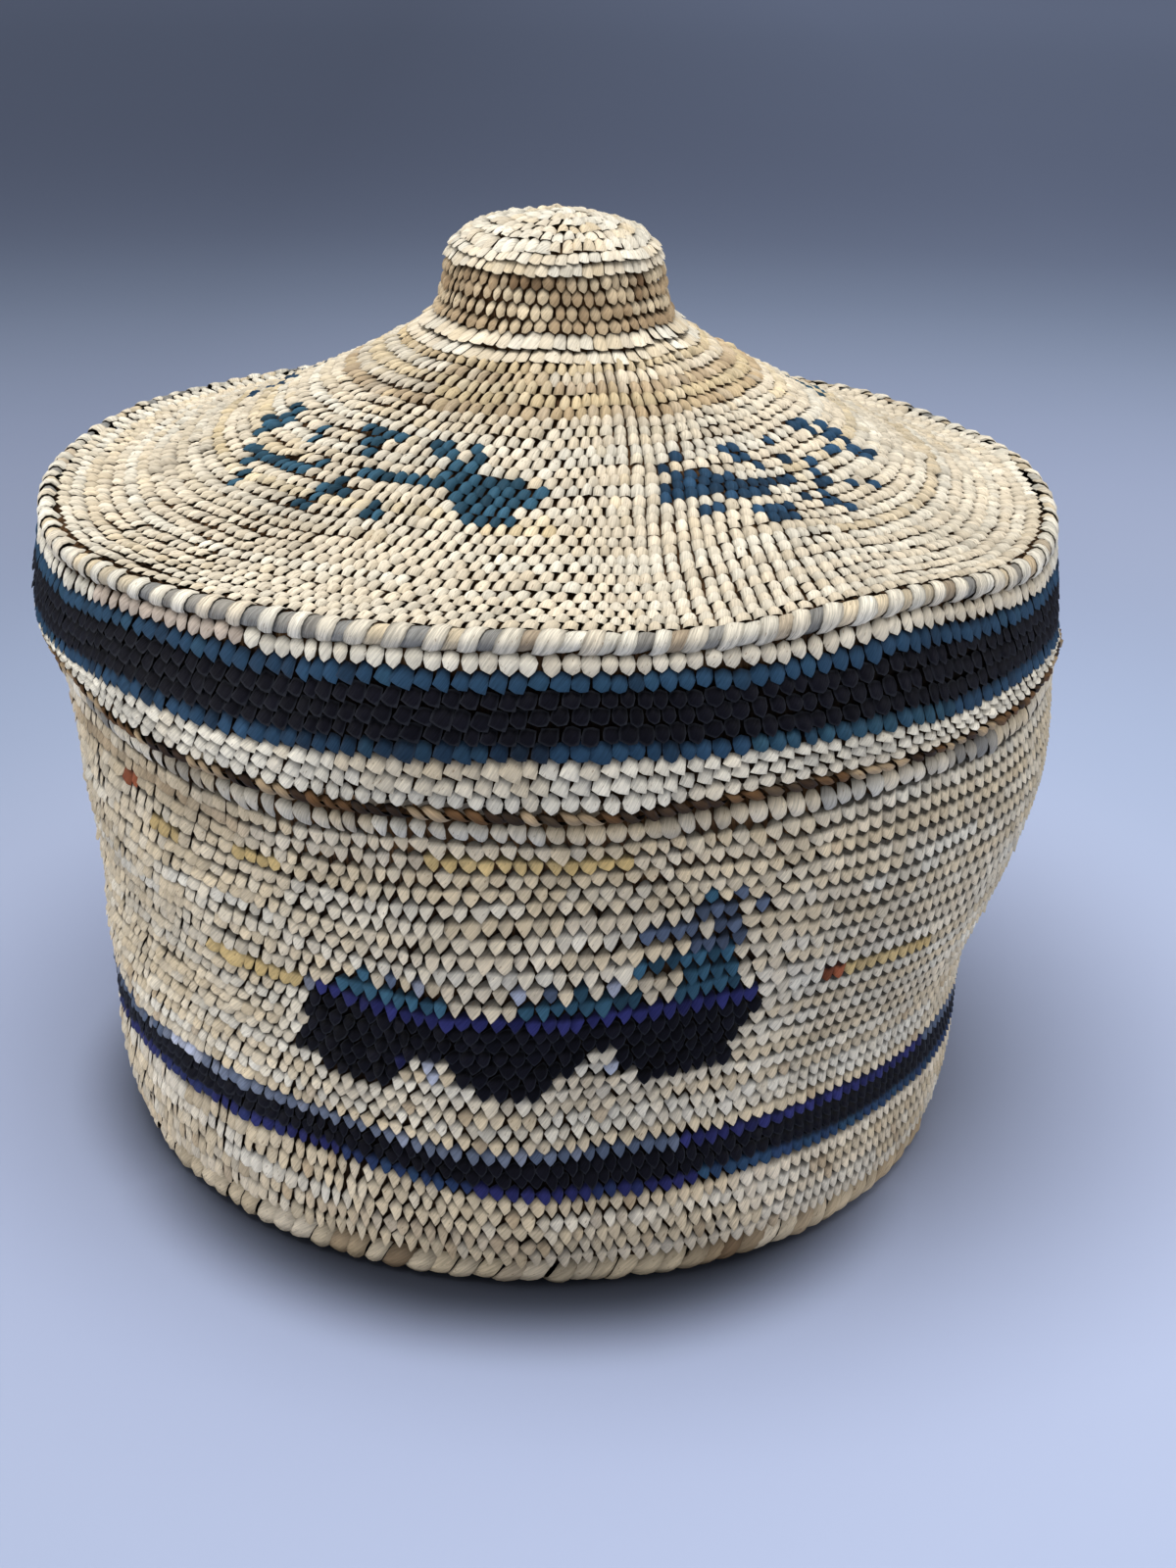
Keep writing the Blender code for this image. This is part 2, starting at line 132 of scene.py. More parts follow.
# Stitch counts round the basket, and round the lid's top at a few radii
WALL_STITCHES = 216
SKIRT_STITCHES = 204
FOOT_STITCHES = 124
SHOULDER_STITCHES = 196
RIM_STITCHES = NECK_STITCHES = 200
KNOB_STITCHES = 60
KNOB_FOOT_STITCHES = 59
KNOB_TOP_STITCHES = 54
CROWN_RINGS = (50, 42, 32, 22, 12, 5)
CONE_COUNTS = ((17.5, 81), (32.5, 122), (47, 174), (63, 204))
CONE_CURVE = 1.4

# Outer line of the knob as radius and height, and the heights at which its pieces meet
KNOB_LINE = (
    (17.9, 105.9), (16.6, 107), (15.4, 108.4), (14.6, 110), (14.3, 111.5), (13.9, 113.5), (13.6, 115),
    (13.2, 116.3), (12.4, 117.5), (11, 118.6), (9, 119.4), (6, 120.1), (3, 120.6), (0.05, 120.78),
)
KNOB_LEVELS = (105.9, 108.3, 115.1, 117.5)

# Radii at which the zones of the lid's top meet
FIGURE_RADIUS = 44.6
SHOULDER_RADIUS = 26.1

# Numbers of courses
NECK_COURSES = 7
BASE_COURSES = 12
INSIDE_COURSES = {"wall": 32, "neck": 8, "base": 12, "lid top": 27, "lid side": 9}
HEEL_COURSES = 5
FIGURE_FINE = 6
FIGURE_WIDE = 9

# Heights of the wall's courses, how far a zone starts below its solid, and the width of a ring's stitch
FINE_COURSE = 1.70
WIDE_COURSE = 2.07
OVERLAP = 0.3
RING_STITCH = 1.8

# Depths below the outer line: the courses' own line, the uprights' two faces and the inside weave
STITCH_SINK = 0.45
SHELL_OUTER = 1.15
SHELL_INNER = 1.45
INNER_FACE = 1.75

# The base: height of its ring's line, of its plait, and width of a bark strip
RING_LEVEL = 0.72
PLAIT_LEVEL = 1.05
PLAIT_STRIP = 4.0

# Steps of the uprights' spin, the radius that their UV map is rolled off, and the angle from which
# an edge of a stitch is sharp
SHELL_STEPS = 180
UNROLL_RADIUS = 60.0
SHARP_ANGLE = 62.0

# The woven figure: course number from the zone's bottom, then colour, start and end azimuth
FIGURE_CHART = {
    0: (("navy", -24.5, -16.5), ("navy", -6.5, -0.5)),
    1: (("navy", -29.5, -16), ("navy", -8.5, 1), ("navy", 11, 21.8), ("lavender", -12, -10)),
    2: (("navy", -28.6, -14.5), ("royal", -16, -14.4), ("navy", -10.5, 2.9), ("navy", 9, 22),
        ("lavender", -12.6, -11), ("lavender", 7.2, 8.8)),
    3: (("navy", -28.3, 4.5), ("navy", 7.5, 22.3)),
    4: (("navy", -28, 22.7),),
    5: (("navy", -26.8, 23.5),),
    6: (("royal", -26, 24), ("golden", -42, -28), ("golden", 34.4, 50), ("lavender", -28, -26.2),
        ("rust", 31.4, 34.4)),
    7: (("teal", -24.5, -11), ("teal", -5, 8.5), ("teal", 12.5, 21)),
    8: (("teal", -21.8, -20.2), ("slate", -19, -17.4), ("lavender", -15.6, -13.6), ("lavender", -4.6, -3),
        ("slate", -1.6, 0.1), ("teal", 1.5, 3.1), ("lavender", 4.3, 5.9), ("teal", 13.4, 19.5)),
    9: (("teal", 8.3, 19.8),),
    10: (("slate", 13, 19.5),),
    11: (("slate", 7, 15), ("slate", 16, 18.5)),
    12: (("slate", 13.5, 15.1), ("slate", 15.2, 16), ("slate", 16.7, 18.2), ("slate", 20.2, 21.8)),
    13: (("teal", 14.6, 16.2), ("slate", 18.1, 19.7), ("golden", -50, -44)),
    14: (("golden", -37, -30),),
}

# Blue figures of the lid: ring number from the zone's outer edge, then start and end azimuth
LID_LEFT_FIGURE = {
    0: ((-60.5, -58.5), (-43.5, -39), (-30, -26.3)),
    1: ((-62.5, -60.5), (-42, -40), (-29.3, -27.5), (-13, -5.5)),
    2: ((-65, -63), (-42, -34.8), (-14.2, -6.6)),
    3: ((-68, -45.2), (-39, -36), (-16.3, -2)),
    4: ((-72, -69.8), (-46, -44), (-37, -0.8)),
    5: ((-75.5, -69), (-20.4, -7.8), (-7, -4.6)),
    6: ((-72, -67.8), (-55.6, -52.4), (-38.9, -36.6), (-19.3, -13.2)),
    7: ((-73.5, -68.2), (-56.6, -54.2), (-43.3, -37.3), (-24.5, -21.2), (-20.8, -18.4), (-15.8, -13.2)),
    8: ((-43.9, -41.6), (-40.5, -33.8), (-26.2, -21.3), (-17.7, -15.2)),
}
LID_RIGHT_FIGURE = {
    -1: ((33.4, 38.6), (50, 52.4)),
    0: ((31.8, 40.8), (47, 52.4), (61.8, 64.6)),
    1: ((23.7, 28.9), (45, 47.4), (48.8, 51.2), (58.9, 61.3)),
    2: ((29.2, 38.3), (51.2, 56.4), (73, 77.3)),
    3: ((18.7, 44.6), (46.6, 49), (53.6, 56), (71, 74)),
    4: ((20, 34.2), (56.3, 58.7), (62.7, 67.4), (72.5, 74.9)),
    5: ((24.1, 32.1), (41.7, 44.1), (49.1, 53.7), (68.7, 77)),
    6: ((19.8, 24.7), (38.3, 44.5), (53.4, 55.8), (66, 68.4), (71.7, 75.7)),
    7: ((25.3, 27.7), (36.1, 38.5), (40.4, 43.2), (50.6, 53), (64.2, 69.9)),
    8: ((66.9, 69.3),),
}


def net(*numbers):
    """Nine points of a stitch, top row first, left to right.

    Each is across in stitch widths, up in course heights and out in mm.
    """
    return np.array(numbers, float).reshape(9, 3)


TILE = net(
    -0.24, 0.3, -0.12, 0.1, 0.58, -0.24, 0.34, 0.38, -0.14, -0.5, -0.02, 0.06, 0, 0, 0.3, 0.47, 0.1, 0.18,
    -0.24, -0.34, 0.34, 0.08, -0.62, 0.62, 0.37, -0.28, 0.42)
SCALE = net(
    -0.36, 0.32, -0.16, 0, 0.42, -0.2, 0.36, 0.34, -0.16, -0.52, -0.02, 0, 0, 0, 0.3, 0.5, 0.04, 0.08,
    -0.37, -0.38, 0.36, 0.04, -0.62, 0.62, 0.4, -0.36, 0.38)
COLUMN = net(
    -0.48, 0.66, -0.14, 0, 0.36, -0.16, 0.48, 0.66, -0.14, -0.52, 0.2, -0.04, 0, -0.04, 0.34, 0.52, 0.2,
    -0.04, -0.47, -0.26, 0.08, 0, -0.5, 0.56, 0.47, -0.26, 0.08)
SQUARE = net(
    -0.28, 0.4, -0.16, 0.12, 0.46, -0.22, 0.5, 0.36, -0.16, -0.46, 0.04, 0.02, 0, 0, 0.28, 0.45, -0.04,
    0.1, -0.54, -0.38, 0.34, -0.12, -0.54, 0.5, 0.32, -0.52, 0.44)
FOLD = net(
    -0.2, 0.56, -0.16, 0.16, 0.5, -0.2, 0.5, 0.36, -0.16, -0.42, 0.14, 0.04, 0, 0, 0.28, 0.45, -0.12, 0.12,
    -0.57, -0.2, 0.26, -0.16, -0.46, 0.42, 0.32, -0.6, 0.42)
DROP = net(
    -0.3, 0.28, -0.1, -0.08, 0.6, -0.16, 0.22, 0.42, -0.1, -0.51, -0.06, 0.12, 0, 0, 0.36, 0.5, 0.22, 0.12,
    -0.19, -0.34, 0.4, 0.12, -0.64, 0.56, 0.32, -0.2, 0.4)
BLOCK = net(
    -0.38, 0.32, -0.12, -0.02, 0.44, -0.12, 0.34, 0.3, -0.12, -0.41, 0.06, 0.04, 0, 0, 0.34, 0.4, -0.05,
    0.1, -0.31, -0.3, 0.2, 0.05, -0.5, 0.4, 0.28, -0.3, 0.26)
TOP_TILE = net(
    -0.27, 0.46, -0.16, 0.11, 0.57, 0.04, 0.49, 0.44, -0.16, -0.43, 0.03, 0.04, 0, 0, 0.52, 0.46, 0, 0.12,
    -0.54, -0.42, -0.02, -0.13, -0.57, 0.26, 0.32, -0.51, 0.06)
TOP_POINT = net(
    -0.28, 0.4, -0.16, 0.12, 0.6, -0.1, 0.46, 0.36, -0.16, -0.5, -0.02, -0.04, 0, 0, 0.4, 0.44, 0.02, 0.08,
    -0.36, -0.32, 0.1, -0.04, -0.64, 0.4, 0.28, -0.36, 0.22)
LEAF = net(
    -0.26, 0.4, -0.12, 0.1, 0.5, -0.2, 0.4, 0.34, -0.16, -0.52, 0, 0.02, 0, 0, 0.3, 0.5, 0.04, 0.1, -0.3,
    -0.36, 0.28, 0.02, -0.6, 0.46, 0.38, -0.34, 0.3)
STRAP = net(
    -0.2, 0.44, -0.1, 0.18, 0.56, 0.04, 0.56, 0.44, -0.16, -0.42, 0.02, 0.08, 0, 0, 0.34, 0.42, -0.02,
    0.14, -0.56, -0.44, -0.04, -0.2, -0.58, 0.1, 0.18, -0.42, -0.06)
LENS = net(
    0.1, 0.44, -0.2, 0.62, 0.56, 0, 1.14, 0.5, -0.3, -0.58, -0.04, 0.02, 0, 0, 0.45, 0.58, 0.04, 0.16,
    -1.14, -0.5, -0.3, -0.62, -0.56, 0.05, -0.1, -0.44, 0)
BACKSLASH = net(
    -0.78, 0.5, -0.15, -0.4, 0.52, 0.05, -0.04, 0.36, 0, -0.42, 0.04, 0.05, 0, 0, 0.46, 0.42, 0, 0.18,
    0.02, -0.38, 0, 0.4, -0.52, 0.1, 0.78, -0.48, -0.1)
PEBBLE = net(
    -0.36, 0.38, -0.16, 0.04, 0.54, -0.18, 0.38, 0.36, -0.18, -0.47, -0.02, 0.04, 0, 0, 0.4, 0.46, 0.04,
    0.1, -0.34, -0.38, 0.16, 0.04, -0.58, 0.34, 0.36, -0.34, 0.2)
PLAIN = net(
    -0.36, 0.36, -0.1, 0, 0.5, 0, 0.36, 0.36, -0.1, -0.52, 0, 0.05, 0, 0, 0.35, 0.52, 0, 0.05, -0.36,
    -0.36, -0.1, 0, -0.5, 0, 0.36, -0.36, -0.1)


def smooth(knots, x, turn=None):
    """Read a smooth curve through (x, y) knots; a turn makes the knots repeat with that period."""
    xs, ys = np.array(knots, float).T
    if turn:
        xs = np.concatenate([xs[-2:] - turn, xs, xs[:2] + turn])
        ys = np.concatenate([ys[-2:], ys, ys[:2]])
    slopes = np.gradient(ys, xs)
    i = np.clip(np.searchsorted(xs, x) - 1, 0, len(xs) - 2)
    span, rise = xs[i + 1] - xs[i], ys[i + 1] - ys[i]
    t = np.clip((x - xs[i]) / span, 0.0, 1.0)
    start, end = slopes[i] * span, slopes[i + 1] * span
    return ys[i] + start * t + (3.0 * rise - 2.0 * start - end) * t * t + (start + end - 2.0 * rise) * t ** 3


def ease(x, low, high):
    """Rise smoothly from 0 at low to 1 at high."""
    t = np.clip((x - low) / (high - low), 0.0, 1.0)
    return t * t * (3.0 - 2.0 * t)


def wrapped(azimuth):
    """Bring an azimuth in degrees into -180 to 180."""
    return (azimuth + 180.0) % 360.0 - 180.0


def sag(azimuth, height):
    """How far a course at this height is lifted at this azimuth, in mm."""
    total = np.zeros_like(height)
    for (low, below), (high, above) in zip(SAG_LEVELS, SAG_LEVELS[1:]):
        inside = (height >= low) & (height < high)
        share = (height[inside] - low) / (high - low)
        under, over = (smooth(table, azimuth[inside], 360.0) if table else 0.0 for table in (below, above))
        total[inside] = under + (over - under) * share
    return total


def settle(points):
    """Move points of the neat round basket to where the hand-made one has them."""
    x, y, z = np.moveaxis(points, -1, 0)
    azimuth = np.degrees(np.arctan2(x, -y))
    angle = np.radians(azimuth)
    slip = np.radians(0.30 * np.sin(11.0 * angle + 1.0) + 0.22 * np.sin(23.0 * angle + z / 14.0))
    x, y = x * np.cos(slip) - y * np.sin(slip), x * np.sin(slip) + y * np.cos(slip)
    above = np.clip(z / 8.0, 0.0, 1.0)
    radius = np.maximum(np.hypot(x, y), 0.001)
    dent = 0.22 * np.sin(3.0 * angle + z / 11.0) + 0.16 * np.sin(5.0 * angle - z / 7.0 + 1.7)
    dent = (dent + 0.12 * np.sin(9.0 * angle + z / 5.0)) * above * np.clip(radius / 40.0, 0.0, 1.0)
    wave = 0.16 * np.sin(7.0 * angle + z / 4.0) + 0.12 * np.sin(13.0 * angle - z / 3.0 + 0.6)
    lift = sag(azimuth, z) + wave * above * np.clip(radius / 30.0, 0.0, 1.0)
    return np.stack([x + x * dent / radius + smooth(LEAN_LINE, z), y + y * dent / radius, z + lift], axis=-1)


class Path:
    """A line of (radius, height) points that courses follow, with its outward side on its right hand."""

    OVERRUN = 3.0
    LEAST_RADIUS = 0.02

    def __init__(self, points):
        line = np.array(points, float)
        ends = (line[0] - line[1], line[-1] - line[-2])
        start, end = (step * self.OVERRUN / np.hypot(*step) for step in ends)
        self.line = np.concatenate([[line[0] + start], line, [line[-1] + end]])
        steps = np.hypot(*np.diff(self.line, axis=0).T)
        self.along = np.concatenate([[0.0], np.cumsum(steps)]) - self.OVERRUN
        self.length = self.along[-2]
        slope = np.gradient(self.line, self.along, axis=0)
        slope /= np.hypot(*slope.T)[:, None]
        self.normal = np.stack([slope[:, 1], -slope[:, 0]], axis=1)

    def at(self, along, lift=0.0):
        """Radius and height at a length along the line, lifted off it."""
        place, out = (
            np.array([np.interp(along, self.along, column) for column in table.T])
            for table in (self.line, self.normal))
        return place + out * lift

    def at_height(self, height):
        """Length along a rising line at which it reaches a height."""
        return np.interp(height, self.line[:, 1], self.along)

    def at_radius(self, radius):
        """Length along an inward line at which it reaches a radius."""
        return np.interp(-radius, -self.line[:, 0], self.along)

    def sunk(self, depth):
        """The same line, moved in by a depth."""
        line = (self.line - self.normal * depth)[1:-1]
        line[:, 0] = np.maximum(line[:, 0], self.LEAST_RADIUS)
        return Path(line)


def span_of(node):
    """Lowest and highest height of a CAD node, in mm."""
    return [corner[2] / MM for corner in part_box(node)]


def radius_of(node):
    """Outer radius of a CAD node, in mm."""
    low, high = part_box(node)
    return (high[0] - low[0]) / 2.0 / MM


def lined(knots, heights, inset=0.0):
    """Path along a line of (height, radius) knots, with its radius made smaller by an inset."""
    return Path(np.stack([smooth(knots, heights) - inset, heights], axis=1))


def wall_path(sink):
    """Path up the wall, sunk below its outer line."""
    return lined(WALL_LINE, np.linspace(3.5, 64.2, 60)).sunk(sink)


def skirt_path(sink):
    """Path up the lid's side, sunk below its outer line."""
    return lined(SKIRT_LINE, np.linspace(66.2, 86.3, 60)).sunk(sink)


def tube(radius, height, half_width, half_height, start, end):
    """Path round a ridge, from its underside outwards and up, in degrees from the horizontal."""
    turn = np.radians(np.linspace(start, end, 24))
    return Path(np.stack([radius + half_width * np.cos(turn), height + half_height * np.sin(turn)], axis=1))


EDGE_CENTRE = sum(span_of("lid_edge_ridge")) / 2.0
EDGE_RADIUS = radius_of("lid_edge_ridge")
CONE_RISE = span_of("knob_foot_ridge")[0] - EDGE_CENTRE
CONE_INNER = radius_of("knob_foot_ridge") + 0.3


def cone(radii, sink=0.0):
    """Path along the lid's top at these radii, set lower by a sink."""
    share = np.maximum((EDGE_RADIUS - radii) / (EDGE_RADIUS - CONE_INNER), 0.0)
    lift = 1.15 * np.maximum(1.0 - 5.0 * share, 0.0) ** 1.5
    return Path(np.stack([radii, EDGE_CENTRE + lift + CONE_RISE * share ** CONE_CURVE - sink], axis=1))


def cone_path(sink):
    """Path up the lid's top, from the edge ridge in to the knob, sunk below its outer line."""
    return cone(np.linspace(EDGE_RADIUS - 2.6, CONE_INNER - 0.6, 80)).sunk(sink)


def cone_count(radius):
    """Stitches round the lid's top at a radius."""
    return int(round(float(smooth(CONE_COUNTS, radius))))


def deselect():
    """Leave object mode with nothing selected."""
    if bpy.context.object and bpy.context.object.mode != "OBJECT":
        bpy.ops.object.mode_set(mode="OBJECT")
    bpy.ops.object.select_all(action="DESELECT")


def edit_all():
    """Edit the active object with all of it selected."""
    bpy.ops.object.mode_set(mode="EDIT")
    bpy.ops.mesh.select_all(action="SELECT")


def close_edit():
    """Turn all faces of the edited object outwards and leave edit mode."""
    bpy.ops.mesh.select_all(action="SELECT")
    bpy.ops.mesh.normals_make_consistent(inside=False)
    bpy.ops.object.mode_set(mode="OBJECT")


def model_stitch(name, across, along):
    """Model one stitch: a patch whose border is drawn in to a point underneath."""
    deselect()
    bpy.ops.mesh.primitive_grid_add(x_subdivisions=across, y_subdivisions=along, size=2.0)
    stitch = bpy.context.object
    stitch.name = name
    edit_all()
    bpy.ops.mesh.region_to_loop()
    bpy.ops.mesh.extrude_edges_move(TRANSFORM_OT_translate={"value": (0.0, 0.0, -1.0)})
    bpy.ops.mesh.merge(type="CENTER")
    close_edit()
    return stitch


class Master:
    """A modelled stitch, ready to be copied: its faces, and how its patch follows nine points."""

    def __init__(self, stitch):
        mesh = stitch.data
        x, y, z = np.array([vertex.co for vertex in mesh.vertices]).T
        self.under = z < -0.5
        self.round = self.shares(
            (x * (x - 1.0) / 2.0, 1.0 - x * x, x * (x + 1.0) / 2.0),
            (y * (y + 1.0) / 2.0, 1.0 - y * y, y * (y - 1.0) / 2.0))
        self.crisp = self.shares(
            (np.maximum(-x, 0.0), 1.0 - np.abs(x), np.maximum(x, 0.0)),
            (np.maximum(y, 0.0), 1.0 - np.abs(y), np.maximum(-y, 0.0)))
        self.low = np.clip((-y - 0.4) / 0.6, 0.0, 1.0) ** 2
        self.edge = np.maximum(np.abs(x), np.abs(y))
        self.edge[self.under] = 1.0
        self.top = np.clip(y, 0.0, 1.0)
        self.side = np.abs(x) ** 4
        self.sizes = np.array([len(face.vertices) for face in mesh.polygons])
        self.corners = np.concatenate([list(face.vertices) for face in mesh.polygons])
        below = [any(self.under[list(face.vertices)]) for face in mesh.polygons]
        low, wide = np.where(np.repeat(below, self.sizes), [[0.76], [0.22]], [[0.04], [0.68]])
        across = low + wide * (x[self.corners] + 1.0) / 2.0
        self.cell = np.stack([across, 0.04 + 0.92 * (y[self.corners] + 1.0) / 2.0], axis=1)
        bpy.data.objects.remove(stitch, do_unlink=True)

    def shares(self, across, up):
        """How much of each of the nine points each vertex follows."""
        shares = np.stack(up, axis=1)[:, :, None] * np.stack(across, axis=1)[:, None, :]
        return shares.reshape(-1, 9)


MASTERS = {}


def masters():
    """The modelled stitches, made once."""
    if not MASTERS:
        MASTERS["fine"] = Master(model_stitch("stitch_master", 4, 4))
        MASTERS["plain"] = Master(model_stitch("plain_master", 2, 2))
        MASTERS["long"] = Master(model_stitch("strand_master", 4, 6))
    return MASTERS


def each(value, count):
    """One number for all stitches or one for each, as a column."""
    return np.broadcast_to(np.asarray(value, float), count)[:, None]


def dye(name):
    """A fibre colour from the panel, as an array."""
    return np.array(getattr(bpy.context.scene.basket_dyes, name))


class Weave:
    """Courses of stitches, laid one by one, that become one piece."""

    def __init__(self, master, seed):
        self.master = masters()[master]
        self.rng = np.random.default_rng(seed)
        self.points, self.dyes, self.strands, self.painted_shades = [], [], [], []

    def tones(self, count, mix, run=(6, 28), single_share=0.45):
        """Colours for a course: runs of stitches that share a strand, drawn from a weighted mix of dyes."""
        rng = self.rng
        choices = np.array([dye(name) for name in mix])
        weights = np.array(list(mix.values()), float)
        weights /= weights.sum()
        colours = np.empty((count, 3))
        start = 0
        while start < count:
            end = min(start + rng.integers(*run), count)
            first, second = choices[rng.choice(len(mix), 2, p=weights)]
            share = rng.uniform(0.0, 1.1 * single_share)
            colours[start:end] = (first * (1.0 - share) + second * share) * rng.uniform(0.93, 1.06)
            start = end
        own = choices[rng.choice(len(mix), count, p=weights)]
        share = rng.uniform(0.0, single_share, (count, 1))
        return colours * (1.0 - share) + own * share

    def stray(self, colours, name, chance):
        """Give single stitches another colour now and then."""
        hit = self.rng.random(len(colours)) < chance
        colours[hit] = colours[hit] * 0.35 + dye(name) * 0.65

    def chart(self, colours, azimuth, spans):
        """Weave coloured spans of a chart into a course, and again on the far side."""
        for turned in (wrapped(azimuth), wrapped(azimuth + 180.0)):
            for name, start, end in spans:
                inside = (turned > start) & (turned < end)
                spread, kept = ((0.85, 1.2), 0.12) if name == "golden" else ((0.6, 1.5), 0.0)
                tone = dye(name) * self.rng.uniform(*spread, (int(inside.sum()), 1))
                colours[inside] = tone * (1.0 - kept) + colours[inside] * kept

    def course(
            self, path, at, tall, net, dyes, count, phase=0.0, fibre=55.0, depth=0.35, wobble=1.0,
            crisp=0.85, curl=0.0, odd=0.03, top=0.6, painted_side_shade=0.0):
        """Lay one course.

        Top sets the painted shade on the stitches' covered ends, and painted_side_shade the painted shade on
        their sides.
        """
        master, normal = self.master, self.rng.normal
        step = 360.0 / count
        turn = (np.arange(count) + phase) * step
        wobble = each(wobble, count)
        loose = wobble[:, :, None]
        net = np.broadcast_to(net, (count, 9, 3))
        net = net * (1.0 + loose * normal(0.0, (0.045, 0.055, 0.16), (count, 1, 3)))
        net[:, :, :2] += loose * normal(0.0, 0.024, (count, 9, 2))
        net[:, :, :2] += loose * normal(0.0, (0.035, 0.040), (count, 1, 2))
        net[self.rng.random(count) < odd] *= (1.22, 1.12, 1.25)
        net[:, :, 2] += wobble * normal(0.0, 0.16, (count, 1)) * net[:, :, 0]
        crisp = each(crisp, count)[:, :, None]
        local = np.einsum("vk,nkc->nvc", master.round, net) * (1.0 - crisp)
        local += np.einsum("vk,nkc->nvc", master.crisp, net) * crisp
        local[..., 2] = np.einsum("vk,nk->nv", master.round, net[..., 2]) - curl * master.low
        local[:, master.under, 2] = -depth
        drift = normal(0.0, 0.22, count) * wobble[:, 0]
        drift = sum(np.roll(drift, places) for places in (2, 1, 0, -1)) / 4.0
        x, y, out = np.moveaxis(local, -1, 0)
        radius, height = path.at(at + drift[:, None] + y * tall, out)
        angle = np.radians(turn[:, None] + x * step)
        self.points.append(np.stack([radius * np.sin(angle), -radius * np.cos(angle), height], axis=-1))
        side, up = x * radius.mean() * math.radians(step), y * tall
        lean = math.radians(fibre)
        own = self.rng.uniform(0.0, 400.0, (count, 1))
        across = up * math.cos(lean) - side * math.sin(lean) + own * 0.37
        self.strands.append(np.stack([side * math.cos(lean) + up * math.sin(lean) + own, across], axis=-1))
        # rim holds painted shade: a little at the border, more towards the covered top end and the sides,
        # and 4.0 on the hidden underside, which the shader paints nearly black.
        rim = 0.25 * master.edge ** 4 + each(top, count) * master.top + each(painted_side_shade, count) * master.side
        self.painted_shades.append(np.where(master.under, 4.0, np.clip(rim, 0.0, 1.0)))
        self.dyes.append(dyes * (1.0 + 0.08 * normal(0.0, 1.0, (count, 1))))

    def rows(self, path, start, tall, net, counts, mix, run=(6, 28), phases=(0.0, 0.5), tint=1.0, **how):
        """Lay plain courses one above another, one for each stitch count."""
        for row, count in enumerate(counts):
            at = start + (row + 0.5) * tall
            dyes = self.tones(count, mix, run) * tint
            self.course(path, at, tall, net, dyes, count, phases[row % len(phases)], **how)

    def finish(self, name, body, slot, node, material=None):
        """Make the laid courses one piece, on its body and in place of its solid."""
        master = self.master
        points = settle(np.concatenate(self.points))
        count, size = points.shape[:2]
        corners = len(master.corners)
        each_one = np.arange(count)[:, None]
        mesh = bpy.data.meshes.new(name)
        mesh.vertices.add(count * size)
        fill(mesh.vertices, "co", points * MM)
        mesh.loops.add(count * corners)
        fill(mesh.loops, "vertex_index", master.corners + each_one * size, np.int32)
        mesh.polygons.add(count * len(master.sizes))
        starts = np.cumsum(master.sizes) - master.sizes
        fill(mesh.polygons, "loop_start", starts + each_one * corners, np.int32)
        mesh.update(calc_edges=True)
        mesh.validate()
        dyes = np.ones((count, size, 4))
        dyes[:, :, :3] = np.clip(np.concatenate(self.dyes), 0.0, 1.0)[:, None, :]
        fill(mesh.attributes.new("dye", "FLOAT_COLOR", "POINT").data, "color", dyes)
        fill(mesh.attributes.new("edge", "FLOAT", "POINT").data, "value", np.tile(master.edge, count))
        fill(mesh.attributes.new("rim", "FLOAT", "POINT").data, "value", np.concatenate(self.painted_shades))
        strands = np.concatenate(self.strands)[:, master.corners, :]
        fill(mesh.uv_layers.new(name="Strand").data, "uv", strands)
        wide = math.ceil(math.sqrt(count))
        cells = np.concatenate([each_one % wide, each_one // wide], axis=1)[:, None, :]
        fill(mesh.uv_layers.new(name="OFBake").data, "uv", (cells + master.cell) / wide)
        mesh.shade_smooth()
        mesh.set_sharp_from_angle(angle=math.radians(SHARP_ANGLE))
        mesh.materials.append(material or grass_material())
        piece = bpy.data.objects.new(name, mesh)
        bpy.context.scene.collection.objects.link(piece)
        finish_piece(piece, body, slot, node)


def fill(store, field, values, kind=np.float32):
    """Write an array into a mesh's store."""
    store.foreach_set(field, values.reshape(-1).astype(kind))


def finish_piece(piece, body, slot, *nodes):
    """Put a piece on its body and hide the solids it stands for; its slot is not used."""
    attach(piece, body)
    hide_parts(*nodes)


def right_side(azimuth, start):
    """How much a place belongs to the basket's right side, where the stitches stand in ribs."""
    return ease(azimuth, start, 33.0) * behind(azimuth)


def behind(azimuth):
    """Falls from 1 to 0 on the way from the right side to the back."""
    return 1.0 - ease(azimuth, 110.0, 160.0)


def mixed(azimuth, scales):
    """Stitch shapes of the wall at each azimuth: squares at the left, tiles in front, ribs at the right."""
    left = ((1.0 - ease(azimuth, -42.0, -20.0)) * ease(azimuth, -175.0, -130.0))[:, None, None]
    right = right_side(azimuth, 23.0)[:, None, None]
    front = TILE * (1.0 - 0.35 * scales) + SCALE * 0.35 * scales
    return front * (1.0 - left - right) + SQUARE * (1.04, 1.05, 1.0) * left + COLUMN * right


def feed(tree, source, target):
    """Link a socket into another, or write a number or a colour there."""
    if isinstance(source, (int, float)):
        target.default_value = source
    elif isinstance(source, tuple):
        target.default_value = (*source, 1.0)
    else:
        tree.links.new(source, target)


def node_in(tree, kind, *sources, **values):
    """Add a node to a tree, set its properties and feed its first inputs."""
    node = tree.nodes.new(kind)
    for key, value in values.items():
        setattr(node, key, value)
    for source, target in zip(sources, node.inputs):
        feed(tree, source, target)
    return node


def maths(tree, operation, first, second):
    """Work out a number from two, each a socket or a number."""
    return node_in(tree, "ShaderNodeMath", first, second, operation=operation).outputs[0]


def ranged(tree, value, low, high, to_low, to_high, kind="LINEAR"):
    """Map a value from one range to another, held at its ends."""
    return node_in(
        tree, "ShaderNodeMapRange", value, low, high, to_low, to_high, interpolation_type=kind).outputs[0]


